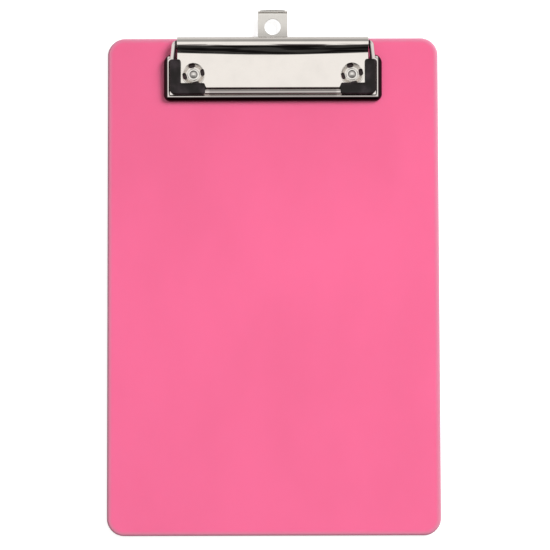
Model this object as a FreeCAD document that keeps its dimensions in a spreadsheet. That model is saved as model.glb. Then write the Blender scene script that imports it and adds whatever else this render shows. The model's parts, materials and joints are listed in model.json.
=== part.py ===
"""Memo-size clipboard: a moulded board, a low-profile spring clip with a wire bail, and a pull-out hanger.

The board lies on its back on the XY plane. +Y runs up the board to the clip, +Z rises from the back face to
the writing face, and the origin is the middle of the back face. Every size is in millimetres.

The bail swings about the roll along the clip's rear edge. Its wire, jaw frame and corner grips are drawn
in one plane through the roll's axis, which leans down so that the jaw frame meets the board at the front.
"""
import FreeCAD, Part
import math
import os

import Sketcher

# Two lengths or places nearer than this are the same.
CLOSE = 1e-6

DIMENSIONS = (
    ("board_width", 152.4, "board, across"),
    ("board_length", 228.6, "board, top to bottom"),
    ("board_thickness", 2.6, "board, back to front"),
    ("board_corner", 8.0, "radius of the board's corners"),
    ("board_edge", 0.5, "rounding along the board's rims"),
    ("clip_inset", 0.5, "roll's rear face in from the board's top edge"),
    ("plate_width", 88.0, "spring plate and roll, across"),
    ("plate_depth", 23.0, "roll's rear face to the plate's front edge"),
    ("plate_sheet", 0.9, "spring plate's steel"),
    ("plate_lift", 1.9, "space under the flat of the plate"),
    ("ramp_angle", 42.0, "slope from the roll down to the flat, degrees"),
    ("ramp_bend", 1.2, "inside radius where the slope meets the flat"),
    ("curl_open", 25.0, "end of the curl below level, degrees"),
    ("lip_bend", 1.4, "outside radius of the plate's front lip"),
    ("lip_gap", 0.3, "space under the front lip"),
    ("notch_depth", 1.5, "front corners of the plate set back beside the grips"),
    ("rivet_inset", 7.5, "rivets in from the plate's side edges"),
    ("rivet_setback", 6.4, "rivets behind the plate's front edge"),
    ("dimple_diameter", 10.5, "rivet dimple at the flat"),
    ("dimple_floor", 7.6, "rivet dimple at the board"),
    ("slot_reach", 4.15, "relief slots from the rivet's axis"),
    ("slot_length", 3.1, "relief slot, end to end"),
    ("slot_width", 1.8, "relief slot, across"),
    ("slot_turn", 12.0, "first relief slot from the X direction, degrees"),
    ("rivet_head", 5.6, "rivet head diameter"),
    ("rivet_head_height", 0.9, "rivet head above the dimple's floor"),
    ("rivet_eye", 3.5, "hollow in the head, diameter"),
    ("rivet_eye_depth", 0.6, "hollow in the head, depth"),
    ("rivet_shank", 3.6, "rivet shank diameter"),
    ("rivet_bore", 2.2, "hollow in the shank, diameter"),
    ("rivet_bore_depth", 2.3, "hollow in the shank, depth from the tail"),
    ("rivet_clearance", 0.1, "shank to hole, all round"),
    ("tail_diameter", 6.2, "clinched tail diameter"),
    ("tail_height", 0.7, "clinched tail thickness"),
    ("tail_room", 0.7, "tail to recess wall, all round"),
    ("recess_depth", 0.9, "recess in the back for the tail"),
    ("wire_diameter", 2.6, "bail wire"),
    ("journal_clearance", 0.08, "wire to roll, all round"),
    ("wire_gap", 3.0, "between the wire's two ends inside the roll"),
    ("arm_gap", 0.75, "bail's side arms beside the plate"),
    ("bar_gap", 0.58, "bail's front bar in front of the plate"),
    ("wire_rear_bend", 2.2, "bend beside the roll, on the wire's centre"),
    ("wire_front_bend", 3.2, "front corner bend, on the wire's centre"),
    ("seat_clearance", 0.02, "wire to its trough"),
    ("frame_sheet", 0.55, "jaw frame's steel"),
    ("frame_gap", 0.15, "jaw frame's lowest edge above the board"),
    ("bead_radius", 0.8, "outside radius of the jaw frame's bead"),
    ("flank_lean", 25.0, "bead's outer flank from upright, degrees"),
    ("frame_corner", 2.9, "outside corner radius of the jaw frame"),
    ("frame_start", 5.2, "rear ends of the jaw frame in front of the roll axis"),
    ("trough_wrap", 20.0, "trough past the lowest point of the wire, degrees"),
    ("grip_length", 16.2, "each leg of a corner grip"),
    ("grip_side_leg", 5.0, "side leg of a grip, across"),
    ("grip_front_leg", 5.3, "front leg of a grip, front to rear"),
    ("grip_fit", 0.05, "grip to jaw frame"),
    ("grip_wire_fit", 0.03, "grip to wire, all round"),
    ("grip_gap", 0.1, "grip above the board"),
    ("grip_cap", 1.5, "part of a grip that laps over the plate"),
    ("grip_cap_gap", 0.35, "lapping part above the plate"),
    ("grip_side_gap", 0.35, "grip beside the plate"),
    ("grip_front_gap", 0.7, "grip in front of the plate's notched corners"),
    ("grip_corner", 1.5, "cut across a grip's outer corner"),
    ("grip_round", 0.8, "rounding of a grip's top"),
    ("trough_end_gap", 0.3, "trough to grip, end to end"),
    ("hanger_width", 13.7, "hanger strip, across"),
    ("hanger_sheet", 0.8, "hanger strip's steel"),
    ("hanger_gap", 0.1, "hanger above the board"),
    ("hanger_roof_gap", 0.25, "roll above the hanger"),
    ("hanger_reach", 12.9, "hanger beyond the board's top edge, pulled out"),
    ("hanger_hole", 7.5, "hanging hole diameter"),
    ("hanger_hole_setback", 7.8, "hanging hole from the hanger's outer end"),
    ("hanger_bend", 1.3, "outside radius of the hanger's two bends"),
    ("hanger_pull", 1.5, "finger lip above the strip"),
    ("hanger_pull_corner", 1.0, "radius of the finger lip's corners"),
    ("hanger_stop_gap", 0.15, "stop lip below the plate"),
    ("hanger_stop_play", 0.3, "stop lip in front of the roll, pulled out"),
)


class Size:
    """A number with the sheet expression that gives it, so that one formula serves both."""

    def __init__(self, value, text):
        self.value = value
        self.text = text

    @staticmethod
    def of(number):
        """Return a Size as it is, or a plain number as a Size."""
        return number if isinstance(number, Size) else Size(float(number), repr(float(number)))

    def join(self, other, sign, work):
        """Return the Size of two terms joined by a sign."""
        other = Size.of(other)
        return Size(work(self.value, other.value), f"({self.text} {sign} {other.text})")

    def __add__(self, other):
        return self.join(other, "+", lambda a, b: a + b)

    def __sub__(self, other):
        return self.join(other, "-", lambda a, b: a - b)

    def __mul__(self, other):
        return self.join(other, "*", lambda a, b: a * b)

    def __truediv__(self, other):
        return self.join(other, "/", lambda a, b: a / b)

    def __radd__(self, other):
        return Size.of(other) + self

    def __rsub__(self, other):
        return Size.of(other) - self

    def __rmul__(self, other):
        return Size.of(other) * self

    def __neg__(self):
        return Size.of(0) - self


def angle(degrees):
    """Return a number of degrees as an angle."""
    degrees = Size.of(degrees)
    return Size(degrees.value, f"({degrees.text} * 1 deg)")


def sine(turn):
    """Return the sine of an angle."""
    return Size(math.sin(math.radians(turn.value)), f"sin({turn.text})")


def cosine(turn):
    """Return the cosine of an angle."""
    return Size(math.cos(math.radians(turn.value)), f"cos({turn.text})")


def hypotenuse(a, b):
    """Return the long side over two square sides."""
    square = a * a + b * b
    return Size(math.sqrt(square.value), f"sqrt({square.text})")


def arc_sine(ratio):
    """Return the angle whose sine is a ratio."""
    return Size(math.degrees(math.asin(ratio.value)), f"asin({ratio.text})")


def arc_tangent(ratio):
    """Return the angle whose tangent is a ratio."""
    return Size(math.degrees(math.atan(ratio.value)), f"atan({ratio.text})")


def polar(centre, radius, turn):
    """Return the point at a radius and an angle, turning left from the first axis, about a centre."""
    return centre[0] + radius * cosine(turn), centre[1] + radius * sine(turn)


class Sizes:
    """The driving dimensions as Sizes, one attribute to a name."""

    def __init__(self, doc):
        """Write the sheet of driving dimensions and name its cells."""
        sheet = doc.addObject("Spreadsheet::Sheet", "Dimensions")
        for row, (name, value, meaning) in enumerate(DIMENSIONS, start=1):
            sheet.set(f"A{row}", name)
            sheet.set(f"B{row}", str(value))
            sheet.set(f"C{row}", meaning)
            sheet.setAlias(f"B{row}", name)
            setattr(self, name, Size(value, f"Dimensions.{name}"))
        doc.recompute()


class Layout:
    """Places and fits that several pieces share, worked out from the driving dimensions."""

    def __init__(self, d):
        wire_radius = d.wire_diameter / 2
        # The roll's bore, its outside, and its axis, which clears the hanger that slides under it.
        self.bore = wire_radius + d.journal_clearance
        self.roll = self.bore + d.plate_sheet
        self.roll_rear = d.board_length / 2 - d.clip_inset
        self.axis_y = self.roll_rear - self.roll
        self.hanger_base = d.board_thickness + d.hanger_gap
        self.hanger_top = self.hanger_base + d.hanger_sheet
        self.axis_z = self.hanger_top + d.hanger_roof_gap + self.roll
        # The flat of the plate, and its front edge.
        self.flat_base = d.board_thickness + d.plate_lift
        self.flat_top = self.flat_base + d.plate_sheet
        self.plate_front = self.roll_rear - d.plate_depth
        self.floor_top = d.board_thickness + d.plate_sheet
        self.rivet_x = d.plate_width / 2 - d.rivet_inset
        self.rivet_y = self.plate_front + d.rivet_setback
        # The bail's side arms and front bar, which pass the plate's edges at their gaps.
        self.arm_x = d.plate_width / 2 + d.arm_gap + wire_radius
        self.arm_length = self.axis_y - self.plate_front + d.bar_gap + wire_radius
        # Across the jaw frame, outwards from the wire's centre.
        self.seat = wire_radius + d.seat_clearance
        self.seat_outside = self.seat + d.frame_sheet
        lean = angle(d.flank_lean)
        self.bead_centre = self.seat + d.bead_radius
        flank_top = self.bead_centre + d.bead_radius * cosine(lean)
        flank_drop = d.bead_radius * sine(lean) + self.seat_outside
        self.flank_foot = flank_top + flank_drop * sine(lean) / cosine(lean)
        # The bail's plane leans so that the frame's front edge stops just above the board.
        reach = self.arm_length + self.flank_foot
        drop = self.axis_z - d.board_thickness - d.frame_gap
        self.tilt = arc_sine(drop / hypotenuse(reach, self.seat_outside)) - arc_tangent(self.seat_outside / reach)
        # Grips, in the bail's plane.
        self.grip_side = self.arm_x + self.seat - d.grip_fit
        self.grip_front = self.arm_length + self.seat - d.grip_fit
        self.grip_inner = self.grip_side - d.grip_length
        self.grip_rear = self.grip_front - d.grip_length
        fall = sine(self.tilt)
        self.grip_base = -(drop + d.frame_gap - d.grip_gap - self.grip_front * fall) / cosine(self.tilt)
        over_plate = self.flat_top + d.grip_cap_gap - self.axis_z
        self.cap_base = (over_plate + (self.axis_y - self.plate_front) * fall) / cosine(self.tilt)
        self.cap_top = self.cap_base + d.grip_cap


def bound(target, path, size):
    """Bind one property or constraint to its sheet expression."""
    target.setExpression(path, size.text)


def new_body(doc, name):
    """Return an empty body with its own label."""
    body = doc.addObject("PartDesign::Body", name)
    body.Label = name
    return body


def lean_with_bail(body, layout):
    """Place a body's origin on the roll's axis, leaning in the bail's plane."""
    spot = FreeCAD.Vector(0, layout.axis_y.value, layout.axis_z.value)
    turn = FreeCAD.Rotation(FreeCAD.Vector(1, 0, 0), layout.tilt.value)
    body.Placement = FreeCAD.Placement(spot, turn)
    bound(body, "Placement.Base.y", layout.axis_y)
    bound(body, "Placement.Base.z", layout.axis_z)
    bound(body, "Placement.Rotation.Angle", layout.tilt)


def new_sketch(body, name, plane, along=None, across=None):
    """Attach a sketch to one of the body's own planes, moved along its normal or across its first axis."""
    sketch = body.newObject("Sketcher::SketchObject", name)
    support = [item for item in body.Origin.OriginFeatures if item.Role == plane]
    sketch.AttachmentSupport = [(support[0], "")]
    sketch.MapMode = "FlatFace"
    if along is not None:
        bound(sketch, "AttachmentOffset.Base.z", Size.of(along))
    if across is not None:
        bound(sketch, "AttachmentOffset.Base.x", Size.of(across))
    return sketch


def fix_point(sketch, shape, end, point):
    """Hold one end of a sketch shape at a point."""
    for kind, size in zip(("DistanceX", "DistanceY"), point):
        size = Size.of(size)
        index = sketch.addConstraint(Sketcher.Constraint(kind, -1, 1, shape, end, size.value))
        bound(sketch, f"Constraints[{index}]", size)


def fix_radius(sketch, shape, radius):
    """Hold the radius of a sketch arc or circle."""
    index = sketch.addConstraint(Sketcher.Constraint("Radius", shape, radius.value))
    bound(sketch, f"Constraints[{index}]", radius)


def add_segment(sketch, start, end):
    """Add the line or arc from one step to the next, and return its index and its two ends."""
    here = FreeCAD.Vector(Size.of(start[0]).value, Size.of(start[1]).value, 0)
    there = FreeCAD.Vector(Size.of(end[0]).value, Size.of(end[1]).value, 0)
    if len(start) == 2:
        return sketch.addGeometry(Part.LineSegment(here, there)), 1, 2
    radius, turn = start[2], start[3]
    chord = there - here
    left = FreeCAD.Vector(-chord.y, chord.x, 0).normalize() * (1 if turn == "left" else -1)
    height = math.sqrt(max(radius.value ** 2 - (chord.Length / 2) ** 2, 0.0))
    middle = (here + there) * 0.5 + left * height
    first, last = (here, there) if turn == "left" else (there, here)
    begin = math.atan2(first.y - middle.y, first.x - middle.x)
    finish = math.atan2(last.y - middle.y, last.x - middle.x)
    if finish < begin:
        finish += 2 * math.pi
    circle = Part.Circle(middle, FreeCAD.Vector(0, 0, 1), radius.value)
    index = sketch.addGeometry(Part.ArcOfCircle(circle, begin, finish))
    fix_radius(sketch, index, radius)
    return (index, 1, 2) if turn == "left" else (index, 2, 1)


def draw(sketch, steps, closed=True):
    """Draw an outline or an open path.

    Each step is a corner, (first, second), where a line starts, or (first, second, radius, turn) where an
    arc of less than half a circle starts. Every corner and radius is held by its expression.
    """
    count = len(steps)
    pieces = count if closed else count - 1
    segments = [add_segment(sketch, steps[i], steps[(i + 1) % count]) for i in range(pieces)]
    for (index, begin, _), step in zip(segments, steps):
        fix_point(sketch, index, begin, step[:2])
    for (index, _, finish), (following, begin, _) in zip(segments, segments[1:] + segments[:1]):
        if closed or index != segments[-1][0]:
            sketch.addConstraint(Sketcher.Constraint("Coincident", index, finish, following, begin))
    if not closed:
        fix_point(sketch, segments[-1][0], segments[-1][2], steps[-1][:2])


def draw_circle(sketch, centre, radius):
    """Draw a circle held by its centre and radius."""
    spot = FreeCAD.Vector(Size.of(centre[0]).value, Size.of(centre[1]).value, 0)
    index = sketch.addGeometry(Part.Circle(spot, FreeCAD.Vector(0, 0, 1), radius.value))
    fix_point(sketch, index, 3, centre)
    fix_radius(sketch, index, radius)


def mirrored(steps, side):
    """Return steps flipped across the first axis for the left side, arcs turning the other way."""
    if side > 0:
        return steps
    swap = {"left": "right", "right": "left"}
    return [(-Size.of(step[0]), step[1], *step[2:3], *(swap[turn] for turn in step[3:])) for step in steps]


def pad(body, name, sketch, length, symmetric=False):
    """Raise a sketch into a solid, to one side or half to each side."""
    feature = body.newObject("PartDesign::Pad", name)
    feature.Profile = sketch
    feature.SideType = "Symmetric" if symmetric else "One side"
    bound(feature, "Length", length)


def cut(body, name, sketch, depth=None, upwards=False):
    """Cut a sketch out of the body, down or upwards, to a depth or right through."""
    feature = body.newObject("PartDesign::Pocket", name)
    feature.Profile = sketch
    feature.Reversed = upwards
    if depth is None:
        feature.Type = "ThroughAll"
    else:
        bound(feature, "Length", depth)


def turned(body, name, sketch):
    """Turn a sketch about its own upright axis."""
    feature = body.newObject("PartDesign::Revolution", name)
    feature.Profile = sketch
    feature.ReferenceAxis = (sketch, ["V_Axis"])
    feature.Angle = 360


def swept(body, kind, name, profile, path):
    """Carry a profile along a path, adding it to the body or cutting it out."""
    feature = body.newObject(kind, name)
    feature.Profile = profile
    feature.Spine = (path, [])


def rounded(doc, body, name, radius, chosen):
    """Round the edges of the body's last solid that a test picks."""
    doc.recompute()
    base = body.Tip
    names = [f"Edge{i}" for i, edge in enumerate(base.Shape.Edges, start=1) if chosen(edge.BoundBox)]
    feature = body.newObject("PartDesign::Fillet", name)
    feature.Base = (base, names)
    bound(feature, "Radius", radius)


def upright(box):
    """Say whether an edge stands parallel to Z."""
    return box.XLength < CLOSE and box.YLength < CLOSE and box.ZLength > CLOSE


def level_at(height):
    """Return a test for edges that lie flat at a height."""
    return lambda box: box.ZLength < CLOSE and abs(box.ZMin - height) < CLOSE


def make_board(doc, d, layout):
    """Moulded board with rounded corners, rivet holes, and recesses in its back for the rivets' tails."""
    body = new_body(doc, "board")
    x, y = d.board_width / 2, d.board_length / 2
    sketch = new_sketch(body, "board_outline", "XY_Plane")
    draw(sketch, [(-x, -y), (x, -y), (x, y), (-x, y)])
    pad(body, "board_slab", sketch, d.board_thickness)
    rounded(doc, body, "board_corners", d.board_corner, upright)
    top = level_at(d.board_thickness.value)
    bottom = level_at(0.0)
    rounded(doc, body, "board_rims", d.board_edge, lambda box: top(box) or bottom(box))
    holes = new_sketch(body, "rivet_holes", "XY_Plane")
    recesses = new_sketch(body, "tail_recesses", "XY_Plane")
    for side in (-1, 1):
        spot = (side * layout.rivet_x, layout.rivet_y)
        draw_circle(holes, spot, d.rivet_shank / 2 + d.rivet_clearance)
        draw_circle(recesses, spot, d.tail_diameter / 2 + d.tail_room)
    cut(body, "rivet_hole_cut", holes, upwards=True)
    cut(body, "tail_recess_cut", recesses, d.recess_depth, upwards=True)
    return body


def plate_profile(d, layout):
    """Section of the spring plate: front lip, flat, ramp, and the roll curled round the wire."""
    y, z = layout.axis_y, layout.axis_z
    lean = angle(d.ramp_angle)
    open_end = angle(d.curl_open)
    bore, roll = layout.bore, layout.roll
    base, top = layout.flat_base, layout.flat_top
    inner_bend, outer_bend = d.ramp_bend, d.ramp_bend + d.plate_sheet
    run = (z - top - inner_bend) * cosine(lean) + roll + inner_bend
    bend_y = y - run / sine(lean)
    bend_z = top + inner_bend
    front = layout.plate_front
    lip_outer, lip_inner = d.lip_bend, d.lip_bend - d.plate_sheet
    lip_foot = d.board_thickness + d.lip_gap
    return [
        (front, lip_foot),
        (front + d.plate_sheet, lip_foot),
        (front + d.plate_sheet, base - lip_inner, lip_inner, "right"),
        (front + lip_outer, base),
        (bend_y, base, outer_bend, "left"),
        (bend_y + outer_bend * sine(lean), bend_z - outer_bend * cosine(lean)),
        (y - bore * sine(lean), z + bore * cosine(lean), bore, "right"),
        (y, z + bore, bore, "right"),
        (y + bore, z, bore, "right"),
        (y, z - bore, bore, "right"),
        (y - bore * cosine(open_end), z - bore * sine(open_end)),
        (y - roll * cosine(open_end), z - roll * sine(open_end), roll, "left"),
        (y, z - roll, roll, "left"),
        (y + roll, z, roll, "left"),
        (y, z + roll, roll, "left"),
        (y - roll * sine(lean), z + roll * cosine(lean)),
        (bend_y + inner_bend * sine(lean), bend_z - inner_bend * cosine(lean), inner_bend, "right"),
        (bend_y, top),
        (front + lip_outer, top, lip_outer, "left"),
        (front, top - lip_outer),
    ]


def slot_outline(d, centre, turn):
    """Relief slot beside a rivet: straight sides across the reach, round ends."""
    half_run = (d.slot_length - d.slot_width) / 2
    round_end = d.slot_width / 2
    along = angle(turn)
    middle = polar(centre, d.slot_reach, along)

    def spot(outwards, sideways):
        return (middle[0] + outwards * cosine(along) - sideways * sine(along),
                middle[1] + outwards * sine(along) + sideways * cosine(along))

    near, far = -round_end, round_end
    tip = half_run + round_end
    return [
        spot(far, -half_run),
        (*spot(far, half_run), round_end, "left"),
        (*spot(0, tip), round_end, "left"),
        spot(near, half_run),
        (*spot(near, -half_run), round_end, "left"),
        (*spot(0, -tip), round_end, "left"),
    ]


def make_clip_plate(doc, d, layout):
    """Spring plate: a formed sheet with two pierced dimples that stand on the board under the rivets."""
    body = new_body(doc, "clip_plate")
    section = new_sketch(body, "plate_section", "YZ_Plane")
    draw(section, plate_profile(d, layout))
    pad(body, "plate_sheet_metal", section, d.plate_width, symmetric=True)
    rim = d.dimple_diameter / 2
    openings = new_sketch(body, "dimple_openings", "XY_Plane", along=layout.flat_top)
    for side in (-1, 1):
        draw_circle(openings, (side * layout.rivet_x, layout.rivet_y), rim)
    cut(body, "dimple_opening_cut", openings, d.plate_sheet)
    floor = d.dimple_floor / 2
    hole = d.rivet_shank / 2 + d.rivet_clearance
    wall = hypotenuse(d.plate_lift, rim - floor)
    # The cup's two faces stand a sheet apart square to its sloping wall.
    spread = d.plate_sheet * (wall + floor - rim) / d.plate_lift
    for side, name in ((-1, "left"), (1, "right")):
        cup = new_sketch(body, f"{name}_dimple", "XZ_Plane", along=-layout.rivet_y, across=side * layout.rivet_x)
        draw(cup, [
            (hole, d.board_thickness),
            (floor + spread, d.board_thickness),
            (rim + spread, layout.flat_base),
            (rim + spread, layout.flat_top),
            (rim, layout.flat_top),
            (floor, layout.floor_top),
            (hole, layout.floor_top),
        ])
        turned(body, f"{name}_dimple_cup", cup)
    slots = new_sketch(body, "relief_slots", "XY_Plane", along=layout.flat_top)
    for side in (-1, 1):
        for quarter in range(4):
            centre = (side * layout.rivet_x, layout.rivet_y)
            draw(slots, slot_outline(d, centre, d.slot_turn + 90 * quarter))
    cut(body, "relief_slot_cut", slots, d.plate_lift + d.plate_sheet)
    corners = new_sketch(body, "corner_notches", "XY_Plane", along=layout.flat_top)
    inner = layout.grip_inner - d.trough_end_gap
    setback = layout.plate_front + d.notch_depth
    beyond = layout.plate_front - d.lip_bend
    for side in (-1, 1):
        draw(corners, mirrored([(inner, beyond), (d.plate_width, beyond), (d.plate_width, setback),
                                (inner, setback)], side))
    cut(body, "corner_notch_cut", corners, d.plate_lift + d.plate_sheet)
    return body


def make_rivet(doc, d, layout, side, name):
    """Semi-tubular rivet: round hollow head on the dimple's floor, tail clinched in the board's recess."""
    body = new_body(doc, name)
    body.Placement.Base = FreeCAD.Vector(side * layout.rivet_x.value, layout.rivet_y.value, 0)
    bound(body, "Placement.Base.x", side * layout.rivet_x)
    bound(body, "Placement.Base.y", layout.rivet_y)
    head, shank, tail = d.rivet_head / 2, d.rivet_shank / 2, d.tail_diameter / 2
    eye, bore = d.rivet_eye / 2, d.rivet_bore / 2
    seat = layout.floor_top
    top = seat + d.rivet_head_height
    tail_base = d.recess_depth - d.tail_height
    crown = d.rivet_head_height / 2
    section = new_sketch(body, f"{name}_section", "XZ_Plane")
    draw(section, [
        (0, d.rivet_bore_depth),
        (bore, d.rivet_bore_depth),
        (bore, tail_base),
        (tail, tail_base),
        (tail, d.recess_depth),
        (shank, d.recess_depth),
        (shank, seat),
        (head, seat),
        (head, top - crown, crown, "left"),
        (head - crown, top),
        (eye, top),
        (eye, top - d.rivet_eye_depth),
        (0, top - d.rivet_eye_depth),
    ])
    turned(body, f"{name}_solid", section)
    return body


def make_wire_bail(doc, d, layout):
    """Bail wire: one length bent into a long loop, its two ends turned in to meet inside the roll."""
    body = new_body(doc, "wire_bail")
    lean_with_bail(body, layout)
    x, reach = layout.arm_x, layout.arm_length
    rear, front = d.wire_rear_bend, d.wire_front_bend
    end = d.wire_gap / 2
    path = new_sketch(body, "wire_path", "XY_Plane")
    draw(path, [
        (end, 0),
        (x - rear, 0, rear, "right"),
        (x, -rear),
        (x, front - reach, front, "right"),
        (x - front, -reach),
        (front - x, -reach, front, "right"),
        (-x, front - reach),
        (-x, -rear, rear, "right"),
        (rear - x, 0),
        (-end, 0),
    ], closed=False)
    section = new_sketch(body, "wire_section", "YZ_Plane", along=end)
    draw_circle(section, (0, 0), d.wire_diameter / 2)
    swept(body, "PartDesign::AdditivePipe", "wire", section, path)
    return body


def bead_profile(d, layout):
    """Bead of the jaw frame, outwards from the wire's centre: over the top and down the outer flank."""
    lean = angle(d.flank_lean)
    outer, inner = d.bead_radius, d.bead_radius - d.frame_sheet
    centre = (layout.bead_centre, 0)
    foot = -layout.seat_outside
    return [
        (layout.seat, 0, outer, "right"),
        polar(centre, outer, lean),
        (layout.flank_foot, foot),
        (layout.flank_foot - d.frame_sheet / cosine(lean), foot),
        (*polar(centre, inner, lean), inner, "left"),
        (layout.seat_outside, 0),
    ]


def trough_profile(d, layout):
    """Trough of the jaw frame, outwards from the wire's centre: a sheet that cups the wire from below."""
    inner, outer = layout.seat, layout.seat_outside
    end = angle(-90 - d.trough_wrap)
    return [
        (inner, 0),
        (outer, 0, outer, "right"),
        (0, -outer, outer, "right"),
        polar((0, 0), outer, end),
        (*polar((0, 0), inner, end), inner, "left"),
        (0, -inner, inner, "left"),
    ]


def shifted(steps, distance):
    """Return steps moved outwards by a distance."""
    return [(distance + step[0], *step[1:]) for step in steps]


def make_jaw_frame(doc, d, layout):
    """Jaw frame: a rolled steel rim round the bail that cups the wire along its front bar and arm ends."""
    body = new_body(doc, "jaw_frame")
    lean_with_bail(body, layout)
    x = layout.arm_x + layout.seat
    y = -(layout.arm_length + layout.seat)
    corner = d.frame_corner - (layout.flank_foot - layout.seat)
    start = -d.frame_start
    path = new_sketch(body, "bead_path", "XY_Plane")
    draw(path, [
        (x, start),
        (x, y + corner, corner, "right"),
        (x - corner, y),
        (corner - x, y, corner, "right"),
        (-x, y + corner),
        (-x, start),
    ], closed=False)
    section = new_sketch(body, "bead_section", "XZ_Plane", along=d.frame_start)
    draw(section, shifted(bead_profile(d, layout), layout.arm_x))
    swept(body, "PartDesign::AdditivePipe", "bead", section, path)
    trough = trough_profile(d, layout)
    side_run = layout.grip_rear - d.trough_end_gap - d.frame_start
    for side, name in ((-1, "left"), (1, "right")):
        arm = new_sketch(body, f"{name}_trough_section", "XZ_Plane", along=d.frame_start)
        draw(arm, mirrored(shifted(trough, layout.arm_x), side))
        pad(body, f"{name}_trough", arm, side_run)
    bar = new_sketch(body, "front_trough_section", "YZ_Plane")
    draw(bar, mirrored(shifted(trough, layout.arm_length), -1))
    pad(body, "front_trough", bar, 2 * (layout.grip_inner - d.trough_end_gap), symmetric=True)
    return body


def grip_outline(d, layout, side_edge, front_edge):
    """L of a corner grip seen from above, given where its two inner edges run."""
    x, y, cut_off = layout.grip_side, -layout.grip_front, d.grip_corner
    return [
        (layout.grip_inner, y),
        (x - cut_off, y),
        (x, y + cut_off),
        (x, -layout.grip_rear),
        (side_edge, -layout.grip_rear),
        (side_edge, -front_edge),
        (layout.grip_inner, -front_edge),
    ]


def make_corner_grip(doc, d, layout, side, name):
    """Corner grip: an L of soft plastic over the wire's bend, its upper half lapping over the plate."""
    body = new_body(doc, name)
    lean_with_bail(body, layout)
    beside_plate = d.plate_width / 2 + d.grip_side_gap
    before_plate = layout.axis_y - layout.plate_front - d.notch_depth + d.grip_front_gap
    foot = new_sketch(body, f"{name}_foot", "XY_Plane", along=layout.grip_base)
    draw(foot, mirrored(grip_outline(d, layout, beside_plate, before_plate), side))
    pad(body, f"{name}_foot_block", foot, layout.cap_base - layout.grip_base)
    lap_side = layout.grip_side - d.grip_side_leg
    lap_front = layout.grip_front - d.grip_front_leg
    cap = new_sketch(body, f"{name}_cap", "XY_Plane", along=layout.cap_base)
    draw(cap, mirrored(grip_outline(d, layout, lap_side, lap_front), side))
    pad(body, f"{name}_cap_block", cap, d.grip_cap)
    rounded(doc, body, f"{name}_top", d.grip_round, level_at(layout.cap_top.value))
    # The bore for the wire runs out past both ends of the L.
    x, reach, bend, overrun = layout.arm_x, layout.arm_length, d.wire_front_bend, d.wire_diameter / 2
    begin = layout.grip_inner - overrun
    path = new_sketch(body, f"{name}_bore_path", "XY_Plane")
    draw(path, mirrored([
        (begin, -reach),
        (x - bend, -reach, bend, "left"),
        (x, bend - reach),
        (x, overrun - layout.grip_rear),
    ], side), closed=False)
    section = new_sketch(body, f"{name}_bore_section", "YZ_Plane", along=side * begin)
    draw_circle(section, (-reach, 0), d.wire_diameter / 2 + d.grip_wire_fit)
    swept(body, "PartDesign::SubtractivePipe", f"{name}_bore", section, path)
    return body


def make_hanger(doc, d, layout):
    """Hanger: a pierced strip that slides under the roll, a finger lip outside and a stop lip inside."""
    body = new_body(doc, "hanger")
    base, top = layout.hanger_base, layout.hanger_top
    outer_bend, inner_bend = d.hanger_bend, d.hanger_bend - d.hanger_sheet
    outside = d.board_length / 2 + d.hanger_reach
    pull_top = top + d.hanger_pull
    stop_top = layout.flat_base - d.hanger_stop_gap
    # The stop lip's top corner meets the round underside of the roll before the strip comes out.
    depth = layout.axis_z - stop_top
    half_chord = layout.roll * cosine(arc_sine(depth / layout.roll))
    stop_rear = layout.axis_y - half_chord - d.hanger_stop_play
    inside = stop_rear - d.hanger_sheet
    section = new_sketch(body, "hanger_section", "YZ_Plane")
    draw(section, [
        (inside, stop_top),
        (inside, base + outer_bend, outer_bend, "left"),
        (inside + outer_bend, base),
        (outside - outer_bend, base, outer_bend, "left"),
        (outside, base + outer_bend),
        (outside, pull_top),
        (outside - d.hanger_sheet, pull_top),
        (outside - d.hanger_sheet, top + inner_bend, inner_bend, "right"),
        (outside - outer_bend, top),
        (inside + outer_bend, top, inner_bend, "right"),
        (stop_rear, top + inner_bend),
        (stop_rear, stop_top),
    ])
    pad(body, "hanger_strip", section, d.hanger_width, symmetric=True)
    lip = (outside - d.hanger_sheet).value
    high = level_at(pull_top.value)
    rounded(doc, body, "finger_lip_corners", d.hanger_pull_corner,
            lambda box: high(box) and box.XLength < CLOSE and box.YMin > lip - CLOSE)
    hole = new_sketch(body, "hanging_hole", "XY_Plane", along=top)
    draw_circle(hole, (0, outside - d.hanger_hole_setback), d.hanger_hole / 2)
    cut(body, "hanging_hole_cut", hole)
    return body


def check(doc, bodies):
    """Stop on any failed object, or a sub-part with no sound single solid."""
    failed = [item.Name for item in doc.Objects if {"Invalid", "Error"} & set(item.State)]
    if failed:
        raise RuntimeError(f"failed to build: {failed}")
    for body in bodies:
        shape = body.Shape
        if shape.isNull() or not shape.isValid() or len(shape.Solids) != 1:
            raise RuntimeError(f"{body.Label} is not one sound solid")


def main():
    """Build every sub-part, check it, and write one STEP file for each."""
    doc = FreeCAD.newDocument("clipboard")
    d = Sizes(doc)
    layout = Layout(d)
    bodies = [
        make_board(doc, d, layout),
        make_clip_plate(doc, d, layout),
        make_rivet(doc, d, layout, -1, "left_rivet"),
        make_rivet(doc, d, layout, 1, "right_rivet"),
        make_wire_bail(doc, d, layout),
        make_jaw_frame(doc, d, layout),
        make_corner_grip(doc, d, layout, -1, "left_corner_grip"),
        make_corner_grip(doc, d, layout, 1, "right_corner_grip"),
        make_hanger(doc, d, layout),
    ]
    doc.recompute()
    check(doc, bodies)
    os.makedirs("parts", exist_ok=True)
    for body in bodies:
        body.Shape.exportStep(f"parts/{body.Label}.step")
        print(f"{body.Label}: {body.Shape.Volume:.2f} mm3, box {body.Shape.BoundBox}")
    print(f"bail lean {layout.tilt.value:.4f} deg, axis y {layout.axis_y.value:.4f} z {layout.axis_z.value:.4f}")


main()
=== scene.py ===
import json
import logging
import math
from dataclasses import dataclass, field
from enum import Enum
from typing import Callable, Sequence

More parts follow.
